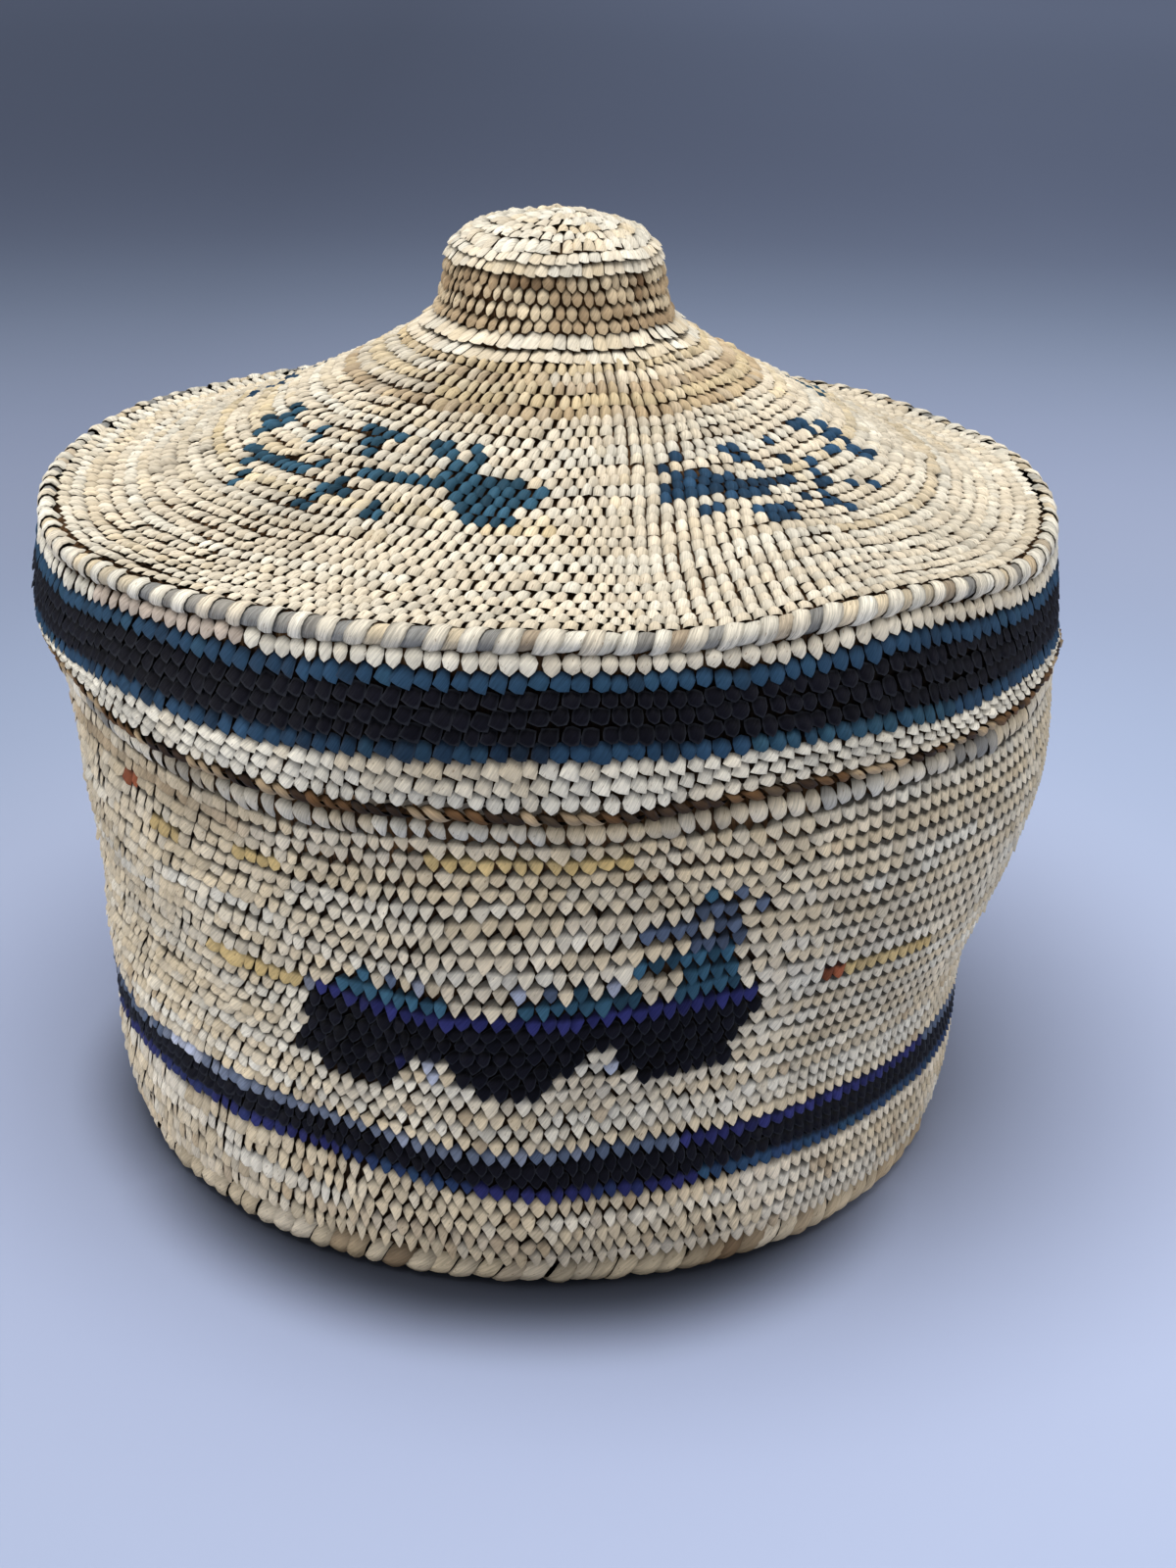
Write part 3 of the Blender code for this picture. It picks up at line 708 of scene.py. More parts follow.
def blended(tree, factor, first, second, mode="MIX"):
    """Blend two colours by a factor; each is a socket or a value."""
    node = node_in(tree, "ShaderNodeMix", factor, data_type="RGBA", blend_type=mode)
    for source, target in zip((first, second), (socket for socket in node.inputs if socket.type == "RGBA")):
        feed(tree, source, target)
    return next(socket for socket in node.outputs if socket.type == "RGBA")


def shaded(tree, colour, value):
    """Multiply a colour by a value."""
    grey = node_in(tree, "ShaderNodeCombineColor", value, value, value)
    return blended(tree, 1.0, colour, grey.outputs[0], "MULTIPLY")


def scaled_noise(tree, vector, scale, detail=2.0):
    """Noise over a vector stretched by a scale."""
    mapping = node_in(tree, "ShaderNodeMapping", vector)
    mapping.inputs["Scale"].default_value = scale
    noise = node_in(tree, "ShaderNodeTexNoise", mapping.outputs["Vector"])
    noise.inputs["Scale"].default_value = 1.0
    noise.inputs["Detail"].default_value = detail
    return noise.outputs["Fac"]


def new_material(name, specular, roughness=0.5):
    """A new material, its node tree and its shader's inputs."""
    material = bpy.data.materials.new(name)
    material.use_nodes = True
    inputs = material.node_tree.nodes["Principled BSDF"].inputs
    inputs["Specular IOR Level"].default_value = specular
    inputs["Roughness"].default_value = roughness
    return material, material.node_tree, inputs


def raise_surface(tree, inputs, height, strength, distance):
    """Feed a height into a shader's normal."""
    bump = node_in(tree, "ShaderNodeBump")
    feed(tree, strength, bump.inputs["Strength"])
    feed(tree, distance, bump.inputs["Distance"])
    feed(tree, height, bump.inputs["Height"])
    feed(tree, bump.outputs["Normal"], inputs["Normal"])


def fibre_streaks():
    """Group: fine streaks and flecks for a split-grass stitch, with painted shade at its border, covered
    end, sides and underside, and a painted highlight on the edges of dark stitches.
    """
    name = "fibre_streaks"
    if name in bpy.data.node_groups:
        return bpy.data.node_groups[name]
    tree = bpy.data.node_groups.new(name, "ShaderNodeTree")
    sockets = (
        ("INPUT", "Color", ("Dye",)), ("INPUT", "Vector", ("Strand", "Place")),
        ("INPUT", "Float", ("Painted_Shade", "Edge", "Streaks")),
        ("OUTPUT", "Color", ("Color",)), ("OUTPUT", "Float", ("Roughness", "Height")),
    )
    for way, kind, titles in sockets:
        for title in titles:
            tree.interface.new_socket(title, in_out=way, socket_type="NodeSocket" + kind)
    given = node_in(tree, "NodeGroupInput").outputs
    result = node_in(tree, "NodeGroupOutput").inputs
    fine = scaled_noise(tree, given["Strand"], (0.35, 6.5, 1.0))
    broad = scaled_noise(tree, given["Strand"], (0.35, 2.2, 1.0))
    fleck = scaled_noise(tree, given["Strand"], (1.3, 5.0, 1.0), 1.0)
    stain = scaled_noise(tree, given["Place"], (55.0, 55.0, 90.0), 3.0)
    both = maths(tree, "ADD", maths(tree, "MULTIPLY", fine, 0.6), maths(tree, "MULTIPLY", broad, 0.4))
    light = maths(tree, "MULTIPLY", ranged(tree, both, 0.36, 0.64, -0.5, 0.5), given["Streaks"])
    light = maths(tree, "ADD", light, 1.0)
    # Painted shade: darker towards a stitch's border, covered end and sides, as the painted shade input
    # says.
    light = maths(tree, "MULTIPLY", light, ranged(tree, given["Painted_Shade"], 0.1, 1.0, 1.0, 0.15))
    light = maths(tree, "MULTIPLY", light, ranged(tree, stain, 0.35, 0.70, 1.06, 0.82))
    painted = shaded(tree, given["Dye"], light)
    bright = node_in(tree, "ShaderNodeRGBToBW", given["Dye"]).outputs[0]
    flecks = ranged(tree, fleck, 0.66, 0.74, 0.0, 0.55)
    brown = maths(tree, "MULTIPLY", flecks, ranged(tree, bright, 0.12, 0.30, 0.0, 1.0))
    painted = blended(tree, brown, painted, (0.16, 0.085, 0.035))
    # Painted highlight: a pale sheen along the edges of dark stitches.
    painted_edge_sheen = ranged(tree, given["Edge"], 0.7, 1.0, 0.0, 0.24)
    painted_edge_sheen = maths(tree, "MULTIPLY", painted_edge_sheen, ranged(tree, bright, 0.02, 0.06, 1.0, 0.0))
    painted = blended(tree, painted_edge_sheen, painted, (0.060, 0.066, 0.080))
    # Painted shade: the hidden undersides, seen in the gaps, are painted nearly black.
    feed(tree, shaded(tree, painted, ranged(tree, given["Painted_Shade"], 0.75, 1.4, 1.0, 0.10)), result["Color"])
    feed(tree, ranged(tree, both, 0.3, 0.7, 0.62, 0.42), result["Roughness"])
    feed(tree, both, result["Height"])
    return tree


def grass_material(name="split_grass", streaks=0.42):
    """Material for woven stitches: the stitch's own dye with fibre streaks, painted shade and a painted
    highlight on dark stitches' edges.
    """
    if name in bpy.data.materials:
        return bpy.data.materials[name]
    material, tree, inputs = new_material(name, 0.06)
    group = node_in(tree, "ShaderNodeGroup", node_tree=fibre_streaks())
    # The rim attribute holds painted shade.
    colour, rim, edge = (
        node_in(tree, "ShaderNodeAttribute", attribute_name=key).outputs for key in ("dye", "rim", "edge"))
    strand = node_in(tree, "ShaderNodeUVMap", uv_map="Strand").outputs["UV"]
    place = node_in(tree, "ShaderNodeTexCoord").outputs["Object"]
    sources = (colour["Color"], strand, place, rim["Fac"], edge["Fac"], streaks)
    for source, target in zip(sources, group.inputs):
        feed(tree, source, target)
    feed(tree, group.outputs["Color"], inputs["Base Color"])
    feed(tree, group.outputs["Roughness"], inputs["Roughness"])
    raise_surface(tree, inputs, group.outputs["Height"], 0.6, 0.00015)
    return material


def bark_material(name="striped_bark", lift=1.0):
    """Material for bark: striped, brown to nearly black, and on the uprights darkened or lightened by
    painted shade and light.
    """
    if name in bpy.data.materials:
        return bpy.data.materials[name]
    material, tree, inputs = new_material(name, 0.04, 0.75)
    strand = node_in(tree, "ShaderNodeUVMap", uv_map="Strand").outputs["UV"]
    stripe = scaled_noise(tree, strand, (2.6, 0.12, 1.0), 3.0)
    patch = scaled_noise(tree, strand, (0.10, 0.22, 1.0))
    dark, brown, tan = (
        tuple(float(v) for v in dye(key) * share * lift)
        for key, share in (("dark_bark", 0.5), ("bark", 0.5), ("tan", 0.45)))
    painted = blended(tree, ranged(tree, stripe, 0.38, 0.55, 0.0, 1.0), dark, brown)
    painted = blended(tree, ranged(tree, stripe, 0.62, 0.72, 0.0, 0.7), painted, tan)
    painted = blended(tree, ranged(tree, patch, 0.45, 0.65, 0.0, 0.6), painted, dark)
    if name == "striped_bark":
        # Painted shade and light from the shade attribute.
        shade = node_in(tree, "ShaderNodeAttribute", attribute_name="shade")
        painted = shaded(tree, painted, shade.outputs["Fac"])
    feed(tree, painted, inputs["Base Color"])
    raise_surface(tree, inputs, stripe, 0.8, 0.0002)
    return material


def spun_shell(name, outline, body, node):
    """Spin a closed outline of (radius, height) points round the axis, then settle it like the weave."""
    deselect()
    bpy.ops.mesh.primitive_circle_add(vertices=len(outline), radius=1.0, fill_type="NOTHING")
    piece = bpy.context.object
    piece.name = name
    mesh = piece.data
    for vertex, (radius, height) in zip(mesh.vertices, outline):
        vertex.co = (radius, 0.0, height)
    edit_all()
    bpy.ops.mesh.spin(steps=SHELL_STEPS, angle=2.0 * math.pi, center=(0.0, 0.0, 0.0), axis=(0.0, 0.0, 1.0))
    bpy.ops.mesh.select_all(action="SELECT")
    bpy.ops.mesh.remove_doubles(threshold=0.0005)
    close_edit()
    points = np.array([vertex.co for vertex in mesh.vertices])
    unwrap_shell(mesh, points)
    # The shade attribute holds painted shade and light for the gaps between stitches.
    fill(mesh.attributes.new("shade", "FLOAT", "POINT").data, "value", shell_shade(points))
    fill(mesh.vertices, "co", settle(points) * MM)
    mesh.update()
    mesh.shade_smooth()
    mesh.materials.append(bark_material())
    finish_piece(piece, body, "cedar_bark", node)


def shell_shade(points):
    """Painted shade and light on the uprights, seen in the gaps between stitches: nearly black painted shade
    behind the dark bands and figures, and painted light that lets the brown bark show high on the wall, most
    at the front, and more under the lid's top.
    """
    azimuth = np.degrees(np.arctan2(points[:, 0], -points[:, 1]))
    height = points[:, 2]
    front = ease(azimuth, -60.0, -30.0) * (1.0 - ease(azimuth, 10.0, 40.0))
    shade = 0.7 + (0.4 + 2.2 * front) * ease(height, 56.0, 60.5) * (height < 67.0)
    shade[height > 84.0] = 2.0
    for node in ("lower_band_dark", "lid_band_dark"):
        low, high = span_of(node)
        shade[(height > low - 1.8) & (height < high + 1.8)] = 0.1
    shade[(height > 29.5) & (height < 41.5) & (azimuth > -29.0) & (azimuth < 24.0)] = 0.1
    return shade


def unwrap_shell(mesh, points):
    """Lay a UV map in mm over a spun shell: round the axis, and along its slope."""
    azimuth = np.degrees(np.arctan2(points[:, 0], -points[:, 1]))
    slope = points[:, 2] - np.hypot(points[:, 0], points[:, 1])
    layer = mesh.uv_layers.new(name="Strand")
    for face in mesh.polygons:
        turns = azimuth[list(face.vertices)]
        if turns.max() - turns.min() > 180.0:
            turns = turns % 360.0
        for corner, index, turn in zip(face.loop_indices, face.vertices, turns):
            layer.data[corner].uv = (math.radians(turn) * UNROLL_RADIUS, slope[index])


class BasketDyes(bpy.types.PropertyGroup):
    """Colours of the fibres."""

    __annotations__ = {
        key: FloatVectorProperty(
            name=key.replace("_", " ").capitalize(), description=text, default=colour, size=3,
            min=0.0, max=1.0, subtype="COLOR",
        )
        for key, (colour, text) in DYES.items()
    }


class BasketStage(bpy.types.PropertyGroup):
    """Light and floor."""

    key_power: FloatProperty(
        name="Key light", description="Power of the large lamp above the basket", default=5.7, unit="POWER")
    fill_power: FloatProperty(
        name="Fill light", description="Power of the lamp in front of the basket", default=0.3, unit="POWER")
    side_power: FloatProperty(
        name="Side light", description="Power of the low lamp at the left, stronger than the right one",
        default=2.1, unit="POWER")
    sky_strength: FloatProperty(
        name="Even light", description="Strength of the even light from all round", default=0.42, min=0.0)


class BasketWeave(bpy.types.PropertyGroup):
    """Sizes of the weave."""

    wall_stitches: IntProperty(
        name="Wall stitches", description="Stitches round the wall", default=WALL_STITCHES, min=40)
    skirt_stitches: IntProperty(
        name="Skirt stitches", description="Stitches round the lid's side", default=SKIRT_STITCHES, min=40)


# Floor and backdrop tones by distance from the basket in metres, linear RGB, and how far they reach. The
# darkening with distance is painted light falloff, and the lighter tones near 0.08 to 0.15 m are painted
# light that offsets the lamps' shade beside the basket.
FLOOR_TONES = (
    (0, (0.345, 0.395, 0.56)), (0.077, (0.345, 0.395, 0.56)), (0.11, (0.385, 0.44, 0.605)),
    (0.15, (0.335, 0.398, 0.557)), (0.19, (0.318, 0.38, 0.536)), (0.24, (0.29, 0.343, 0.487)),
    (0.29, (0.3, 0.347, 0.487)), (0.36, (0.294, 0.343, 0.492)), (0.46, (0.25, 0.3, 0.43)),
    (0.56, (0.19, 0.236, 0.345)), (0.68, (0.138, 0.171, 0.264)), (0.86, (0.127, 0.158, 0.25)),
    (1.1, (0.136, 0.17, 0.27)), (1.5, (0.157, 0.198, 0.313)), (1.8, (0.182, 0.227, 0.358)),
)
FLOOR_REACH = 2.0


def floor_material():
    """Pale paper that darkens with distance, as the photograph's sweep does."""
    material, tree, inputs = new_material("backdrop_paper", 0.1, 0.9)
    place = node_in(tree, "ShaderNodeTexCoord").outputs["Object"]
    distance = node_in(tree, "ShaderNodeVectorMath", place, operation="LENGTH").outputs["Value"]
    # Painted light falloff: the ramp darkens the paper with distance.
    ramp = node_in(tree, "ShaderNodeValToRGB", maths(tree, "DIVIDE", distance, FLOOR_REACH))
    stops = ramp.color_ramp.elements
    ramp.color_ramp.interpolation = "B_SPLINE"
    while len(stops) < len(FLOOR_TONES):
        stops.new(1.0)
    for stop, (far, colour) in zip(stops, FLOOR_TONES):
        stop.position = far / FLOOR_REACH
        stop.color = (*colour, 1.0)
    parts = node_in(tree, "ShaderNodeSeparateXYZ", place).outputs
    # Painted contact shadow: a dark ring round the foot, reaching further out at the sides and towards the
    # right.
    beside = ranged(tree, maths(tree, "DIVIDE", parts["Y"], distance), -0.98, -0.55, 0.0, 1.0)
    shift = ranged(tree, maths(tree, "DIVIDE", parts["X"], distance), -1.0, 1.0, 0.006, 0.014)
    reach = maths(tree, "ADD", distance, maths(tree, "MULTIPLY", beside, shift))
    painted_contact_shadow = ranged(tree, reach, 0.0565, 0.0735, 0.10, 1.0, "SMOOTHSTEP")
    # Painted light: the floor is painted lighter towards the right.
    both = maths(tree, "MULTIPLY", painted_contact_shadow, ranged(tree, parts["X"], -0.12, 0.22, 0.91, 1.33))
    feed(tree, shaded(tree, ramp.outputs["Color"], both), inputs["Base Color"])
    return material


def lamp(place, size, power):
    """Add a soft lamp that points at the basket."""
    data = bpy.data.lights.new("soft_lamp", "AREA")
    data.shape = "DISK"
    data.size = size
    data.energy = power
    item = bpy.data.objects.new("soft_lamp", data)
    bpy.context.scene.collection.objects.link(item)
    item.location = place
    item.rotation_euler = (Vector((0.0, 0.0, 0.05)) - Vector(place)).to_track_quat("-Z", "Y").to_euler()


class BASKET_OT_stage(bpy.types.Operator):
    """Add the camera, the lamps and the floor"""

    bl_idname = "basket.stage"
    bl_label = "Stage"

    def execute(self, context):
        settings = context.scene.basket_stage
        self.camera(context.scene)
        lamp((-0.08, -0.14, 0.78), 0.60, settings.key_power)
        lamp((-0.05, -0.90, 0.30), 0.55, settings.fill_power)
        lamp((-0.64, -0.18, 0.10), 0.50, settings.side_power)
        lamp((0.64, -0.18, 0.10), 0.50, settings.side_power * 0.75)
        self.world(context.scene, settings.sky_strength)
        self.floor()
        context.scene.view_settings.view_transform = "Standard"
        return {"FINISHED"}

    def camera(self, scene):
        """Stand the camera where the photograph was taken from."""
        ahead = math.cos(PITCH)
        forward = Vector((math.sin(YAW) * ahead, math.cos(YAW) * ahead, -math.sin(PITCH)))
        right = Vector((math.cos(YAW), -math.sin(YAW), 0.0))
        up = right.cross(forward)
        side = right * math.cos(ROLL) + up * math.sin(ROLL)
        top = up * math.cos(ROLL) - right * math.sin(ROLL)
        data = bpy.data.cameras.new("camera")
        data.sensor_width = SENSOR
        data.lens = FOCAL_PIXELS * SENSOR / FRAME_HEIGHT
        data.clip_start = 0.01
        scene.camera = bpy.data.objects.new("camera", data)
        scene.collection.objects.link(scene.camera)
        turned = Matrix((side, top, -forward)).transposed().to_4x4()
        scene.camera.matrix_world = Matrix.Translation(EYE) @ turned

    def world(self, scene, strength):
        """Even light, a little weaker from above, behind a plain backdrop."""
        scene.world = bpy.data.worlds.new("even_light")
        scene.world.use_nodes = True
        tree = scene.world.node_tree
        place = node_in(tree, "ShaderNodeTexCoord").outputs["Generated"]
        rise = ranged(tree, node_in(tree, "ShaderNodeSeparateXYZ", place).outputs["Z"], 0.25, 0.60, 0.0, 1.0)
        even = tree.nodes["Background"]
        feed(tree, blended(tree, rise, (1.0, 1.0, 1.0), (0.90, 0.90, 0.90)), even.inputs["Color"])
        feed(tree, strength, even.inputs["Strength"])
        distant = node_in(tree, "ShaderNodeBackground", (0.080, 0.098, 0.147))
        seen = node_in(tree, "ShaderNodeLightPath").outputs["Is Camera Ray"]
        mix = node_in(tree, "ShaderNodeMixShader", seen, even.outputs[0], distant.outputs[0])
        feed(tree, mix.outputs[0], tree.nodes["World Output"].inputs[0])

    def floor(self):
        """Lay a wide round floor of paper."""
        deselect()
        bpy.ops.mesh.primitive_circle_add(vertices=96, radius=0.5, fill_type="NGON")
        floor = bpy.context.object
        floor.name = "floor"
        edit_all()
        bpy.ops.mesh.region_to_loop()
        bpy.ops.mesh.extrude_edges_move()
        bpy.ops.transform.resize(value=(14.0, 14.0, 1.0))
        bpy.ops.object.mode_set(mode="OBJECT")
        floor.data.materials.append(floor_material())


class BASKET_OT_wall(bpy.types.Operator):
    """Weave the courses of the wall, from the foot up to the shoulder"""

    bl_idname = "basket.wall"
    bl_label = "Wall courses"

    def execute(self, context):
        fine, wide = [FINE_COURSE], [WIDE_COURSE]
        natural = {"aged": 7, "cream": 2, "white": 2, "tan": 1}
        pale = {"white": 3, "aged": 6, "cream": 1}
        low, high = span_of("wall_lower_courses")
        heel = [(high - low + OVERLAP) / HEEL_COURSES] * HEEL_COURSES
        zones = (
            ("wall_lower_courses", heel, natural, "natural_grass", 0.0),
            ("lower_band_bottom_blue", fine, {"royal": 4, "blue": 1}, "royal_blue_grass", 0.0),
            ("lower_band_dark", fine * 2, {"navy": 1}, "navy_grass", 0.0),
            ("lower_band_top_slate", fine, {"slate": 4, "lavender": 1}, "slate_grass", 0.0),
            ("wall_plain_courses", fine * 4, pale, "natural_grass", 0.12),
            ("wall_figure_courses", fine * FIGURE_FINE + wide * FIGURE_WIDE, pale, "natural_grass", 0.6),
            ("wall_upper_courses", wide * 3, natural, "natural_grass", None),
        )
        count = context.scene.basket_weave.wall_stitches
        path = wall_path(STITCH_SINK)
        azimuth = wrapped(np.arange(count) * 360.0 / count)
        right = right_side(azimuth, 24.0)
        ribs = right * behind(azimuth)
        row = 0
        for seed, (node, heights, mix, slot, scale) in enumerate(zones):
            weave = Weave("fine", 100 + seed)
            level = span_of(node)[0] - OVERLAP
            # The top and side values of a course set painted shade on the stitches' covered ends and sides,
            # more in the upper courses and on the ribs at the right.
            fuller, top = (1.04, 1.06, 1.0), 0.9
            if node in ("wall_figure_courses", "wall_upper_courses"):
                fuller, top = (1.08, 1.04, 1.0), 1.6
            for number, tall in enumerate(heights):
                low, high = path.at_height(level), path.at_height(level + tall)
                phase = 0.5 * (row % 2) * (1.0 - right)
                colours = weave.tones(count, mix)
                turn = wrapped((np.arange(count) + phase) * 360.0 / count)
                self.paint(weave, node, number, colours, turn)
                scales = 1.0 if scale is None else scale * number / len(heights)
                shape = mixed(turn, scales) * fuller
                weave.course(
                    path, (low + high) / 2.0, high - low, shape, colours, count, phase,
                    wobble=1.25 - 0.9 * right, crisp=0.9 - 0.4 * right, top=top + 0.6 * ribs,
                    painted_side_shade=0.45 * ribs)
                level += tall
                row += 1
            weave.finish(node + "_weave", "basket", slot, node)
        return {"FINISHED"}

    def paint(self, weave, node, number, colours, turn):
        """Add the figure, the golden runs and the stray fibres to a course."""
        spans = {
            ("wall_upper_courses", 0): (("rust", -54.6, -51.6),),
            ("wall_upper_courses", 1): (("golden", -12.6, 7.5),),
            ("lower_band_top_slate", 0): (("lavender", -51.0, -44.0), ("royal", 18.0, 60.0)),
        }.get((node, number), ())
        if node == "wall_figure_courses":
            spans = FIGURE_CHART.get(number, ())
        weave.chart(colours, turn, spans)
        if node in ("wall_lower_courses", "wall_plain_courses"):
            weave.stray(colours, "tan", 0.05)


class BASKET_OT_foot(bpy.types.Operator):
    """Lay the twisted foot course that the basket stands on"""

    bl_idname = "basket.foot"
    bl_label = "Foot course"

    def execute(self, context):
        low, high = span_of("foot_course")
        half = (high - low) / 2.0
        path = tube(radius_of("foot_course") - 2.0, low + half + 0.1, 1.5, half - 0.45, -125.0, 95.0)
        weave = Weave("long", 200)
        colours = weave.tones(FOOT_STITCHES, {"aged": 5, "cream": 2, "tan": 2}, (1, 4))
        weave.stray(colours, "bark", 0.06)
        weave.course(
            path, path.length / 2.0, path.length * 0.98, LENS, colours, FOOT_STITCHES, fibre=35.0, crisp=0.0,
            wobble=1.3)
        weave.finish("foot_course_strands", "basket", "natural_grass", "foot_course")
        return {"FINISHED"}


class BASKET_OT_shoulder(bpy.types.Operator):
    """Lay the pale shoulder course, the hidden neck and the basket's braided rim"""

    bl_idname = "basket.shoulder"
    bl_label = "Shoulder, neck and rim"

    def execute(self, context):
        low, high = span_of("shoulder_course")
        path = tube(63.95, (low + high) / 2.0 - 0.1, 1.05, (high - low) / 2.0 + 0.1, -70.0, 100.0)
        weave = Weave("long", 210)
        colours = weave.tones(SHOULDER_STITCHES, {"white": 2, "aged": 6, "grey": 1}, (1, 6))
        weave.course(
            path, path.length * 0.46, path.length * 0.82, LEAF, colours, SHOULDER_STITCHES, fibre=60.0,
            wobble=1.3)
        weave.finish("shoulder_strands", "basket", "pale_grass", "shoulder_course")
        low, high = span_of("neck_courses")
        radius = radius_of("neck_courses")
        path = Path([(radius - STITCH_SINK, low - OVERLAP), (radius - STITCH_SINK, high)])
        tall = (high - low + OVERLAP) / NECK_COURSES
        weave = Weave("plain", 220)
        mix = {"cream": 4, "aged": 3, "tan": 1}
        weave.rows(path, 0.0, tall, SCALE, [NECK_STITCHES] * NECK_COURSES, mix)
        weave.finish("neck_weave", "basket", "natural_grass", "neck_courses")
        path = tube(radius - 1.1, sum(span_of("body_rim_braid")) / 2.0, 0.85, 0.62, -120.0, 260.0)
        weave = Weave("long", 230)
        for shift in (0.0, 0.5):
            colours = weave.tones(RIM_STITCHES, {"tan": 3, "bark": 4, "dark_bark": 1}, (1, 4))
            weave.course(
                path, path.length * (0.28 + shift), path.length * 0.52, BACKSLASH, colours, RIM_STITCHES,
                shift, fibre=-40.0, depth=0.2, crisp=0.0)
        weave.finish("body_rim_strands", "basket", "cedar_braid", "body_rim_braid")
        return {"FINISHED"}


class BASKET_OT_skirt(bpy.types.Operator):
    """Weave the lid's banded side, its braided rim and its edge ridge"""

    bl_idname = "basket.skirt"
    bl_label = "Lid side"

    def execute(self, context):
        white = {"white": 8, "cream": 1, "aged": 1}
        blue = {"blue": 4, "teal": 1, "navy": 1}
        count = context.scene.basket_weave.skirt_stitches
        azimuth = wrapped(np.arange(count) * 360.0 / count)
        blocks = ease(azimuth, -15.0, 20.0)[:, None, None]
        band = FOLD * (1.0 - blocks) + BLOCK * (1.22, 1.2, 1.1) * blocks
        blue_net = band * (1.0, 1.10, 1.0)
        lowest = (FOLD + DROP) * 0.5
        zones = (
            ("lid_skirt_white_courses", (lowest, FOLD, FOLD), white, "pale_grass"),
            ("lid_band_bottom_blue", (blue_net,), blue, "blue_grass"),
            ("lid_band_dark", (band * (1.0, 0.97, 1.0),) * 3, {"navy": 1}, "navy_grass"),
            ("lid_band_top_blue", (blue_net,), blue, "blue_grass"),
            ("lid_side_white_course", (PEBBLE * (1.06, 1.14, 1.0),), {"white": 6, "cream": 2}, "pale_grass"),
        )
        path = skirt_path(STITCH_SINK)
        row = 0
        for seed, (node, nets, mix, slot) in enumerate(zones):
            weave = Weave("fine", 300 + seed)
            low, high = span_of(node)
            tall = (high - low + OVERLAP) / len(nets)
            for number, net in enumerate(nets):
                level = low - OVERLAP + number * tall
                start, end = path.at_height(level), path.at_height(level + tall)
                at = (start + end) / 2.0
                colours = weave.tones(count, mix)
                if node == "lid_side_white_course":
                    pinkish = (azimuth > -53.0) & (azimuth < -30.0)
                    colours[pinkish] = colours[pinkish] * 0.35 + dye("tan") * (0.95, 0.95, 1.25) * 0.65
                    at += 0.1
                weave.course(path, at, end - start, net, colours, count, 0.5 * (row % 2), crisp=0.8)
                row += 1
            weave.finish(node + "_weave", "lid", slot, node)
        self.rim()
        self.edge()
        return {"FINISHED"}

    def rim(self):
        """Lay the slanted strands of the lid's lower rim."""
        path = tube(65.0, sum(span_of("lid_rim_braid")) / 2.0 + 0.05, 1.0, 0.75, -110.0, 80.0)
        weave = Weave("long", 320)
        colours = weave.tones(RIM_STITCHES, {"tan": 4, "bark": 4, "dark_bark": 4}, (1, 3), 0.1)
        flatter = BACKSLASH * (1.0, 1.0, 0.85)
        weave.course(
            path, path.length * 0.55, path.length * 0.92, flatter, colours, RIM_STITCHES, fibre=-30.0,
            depth=0.2, crisp=0.0, wobble=1.3)
        weave.finish("lid_rim_strands", "lid", "cedar_braid", "lid_rim_braid")

    def edge(self):
        """Lay the ridge round the lid's edge: dark straps underneath, pale ones over them."""
        count = SKIRT_STITCHES // 2
        path = tube(EDGE_RADIUS - 1.35, EDGE_CENTRE - 0.35, 1.30, 1.30, -84.0, 120.0)
        weave = Weave("long", 330)
        strap = STRAP + STRAP[:, 1:2] * (0.22, 0.0, 0.0)
        colours = weave.tones(count, {"grey": 4, "aged": 2, "white": 2}, (1, 3), 0.15)
        weave.stray(colours, "tan", 0.12)
        under = strap * (1.0, 0.94, 0.7) - (0.0, 0.0, 0.18)
        # The top and side values of these courses set painted shade on the straps' covered ends and sides.
        weave.course(
            path, path.length / 2.0, path.length, under, colours, count, 0.5, 62.0, crisp=0.9, odd=0.0,
            top=0.2, painted_side_shade=0.2)
        colours = weave.tones(count, {"white": 5, "cream": 3}, (1, 3))
        over = strap * (0.68, 1.0, 0.75) + (0.0, 0.0, 0.08)
        weave.course(
            path, path.length / 2.0, path.length, over, colours, count, 0.0, 62.0, crisp=1.0, odd=0.0,
            top=0.15, painted_side_shade=0.3)
        weave.finish(
            "lid_edge_strands", "lid", "pale_grass", "lid_edge_ridge", grass_material("striped_grass", 0.7))


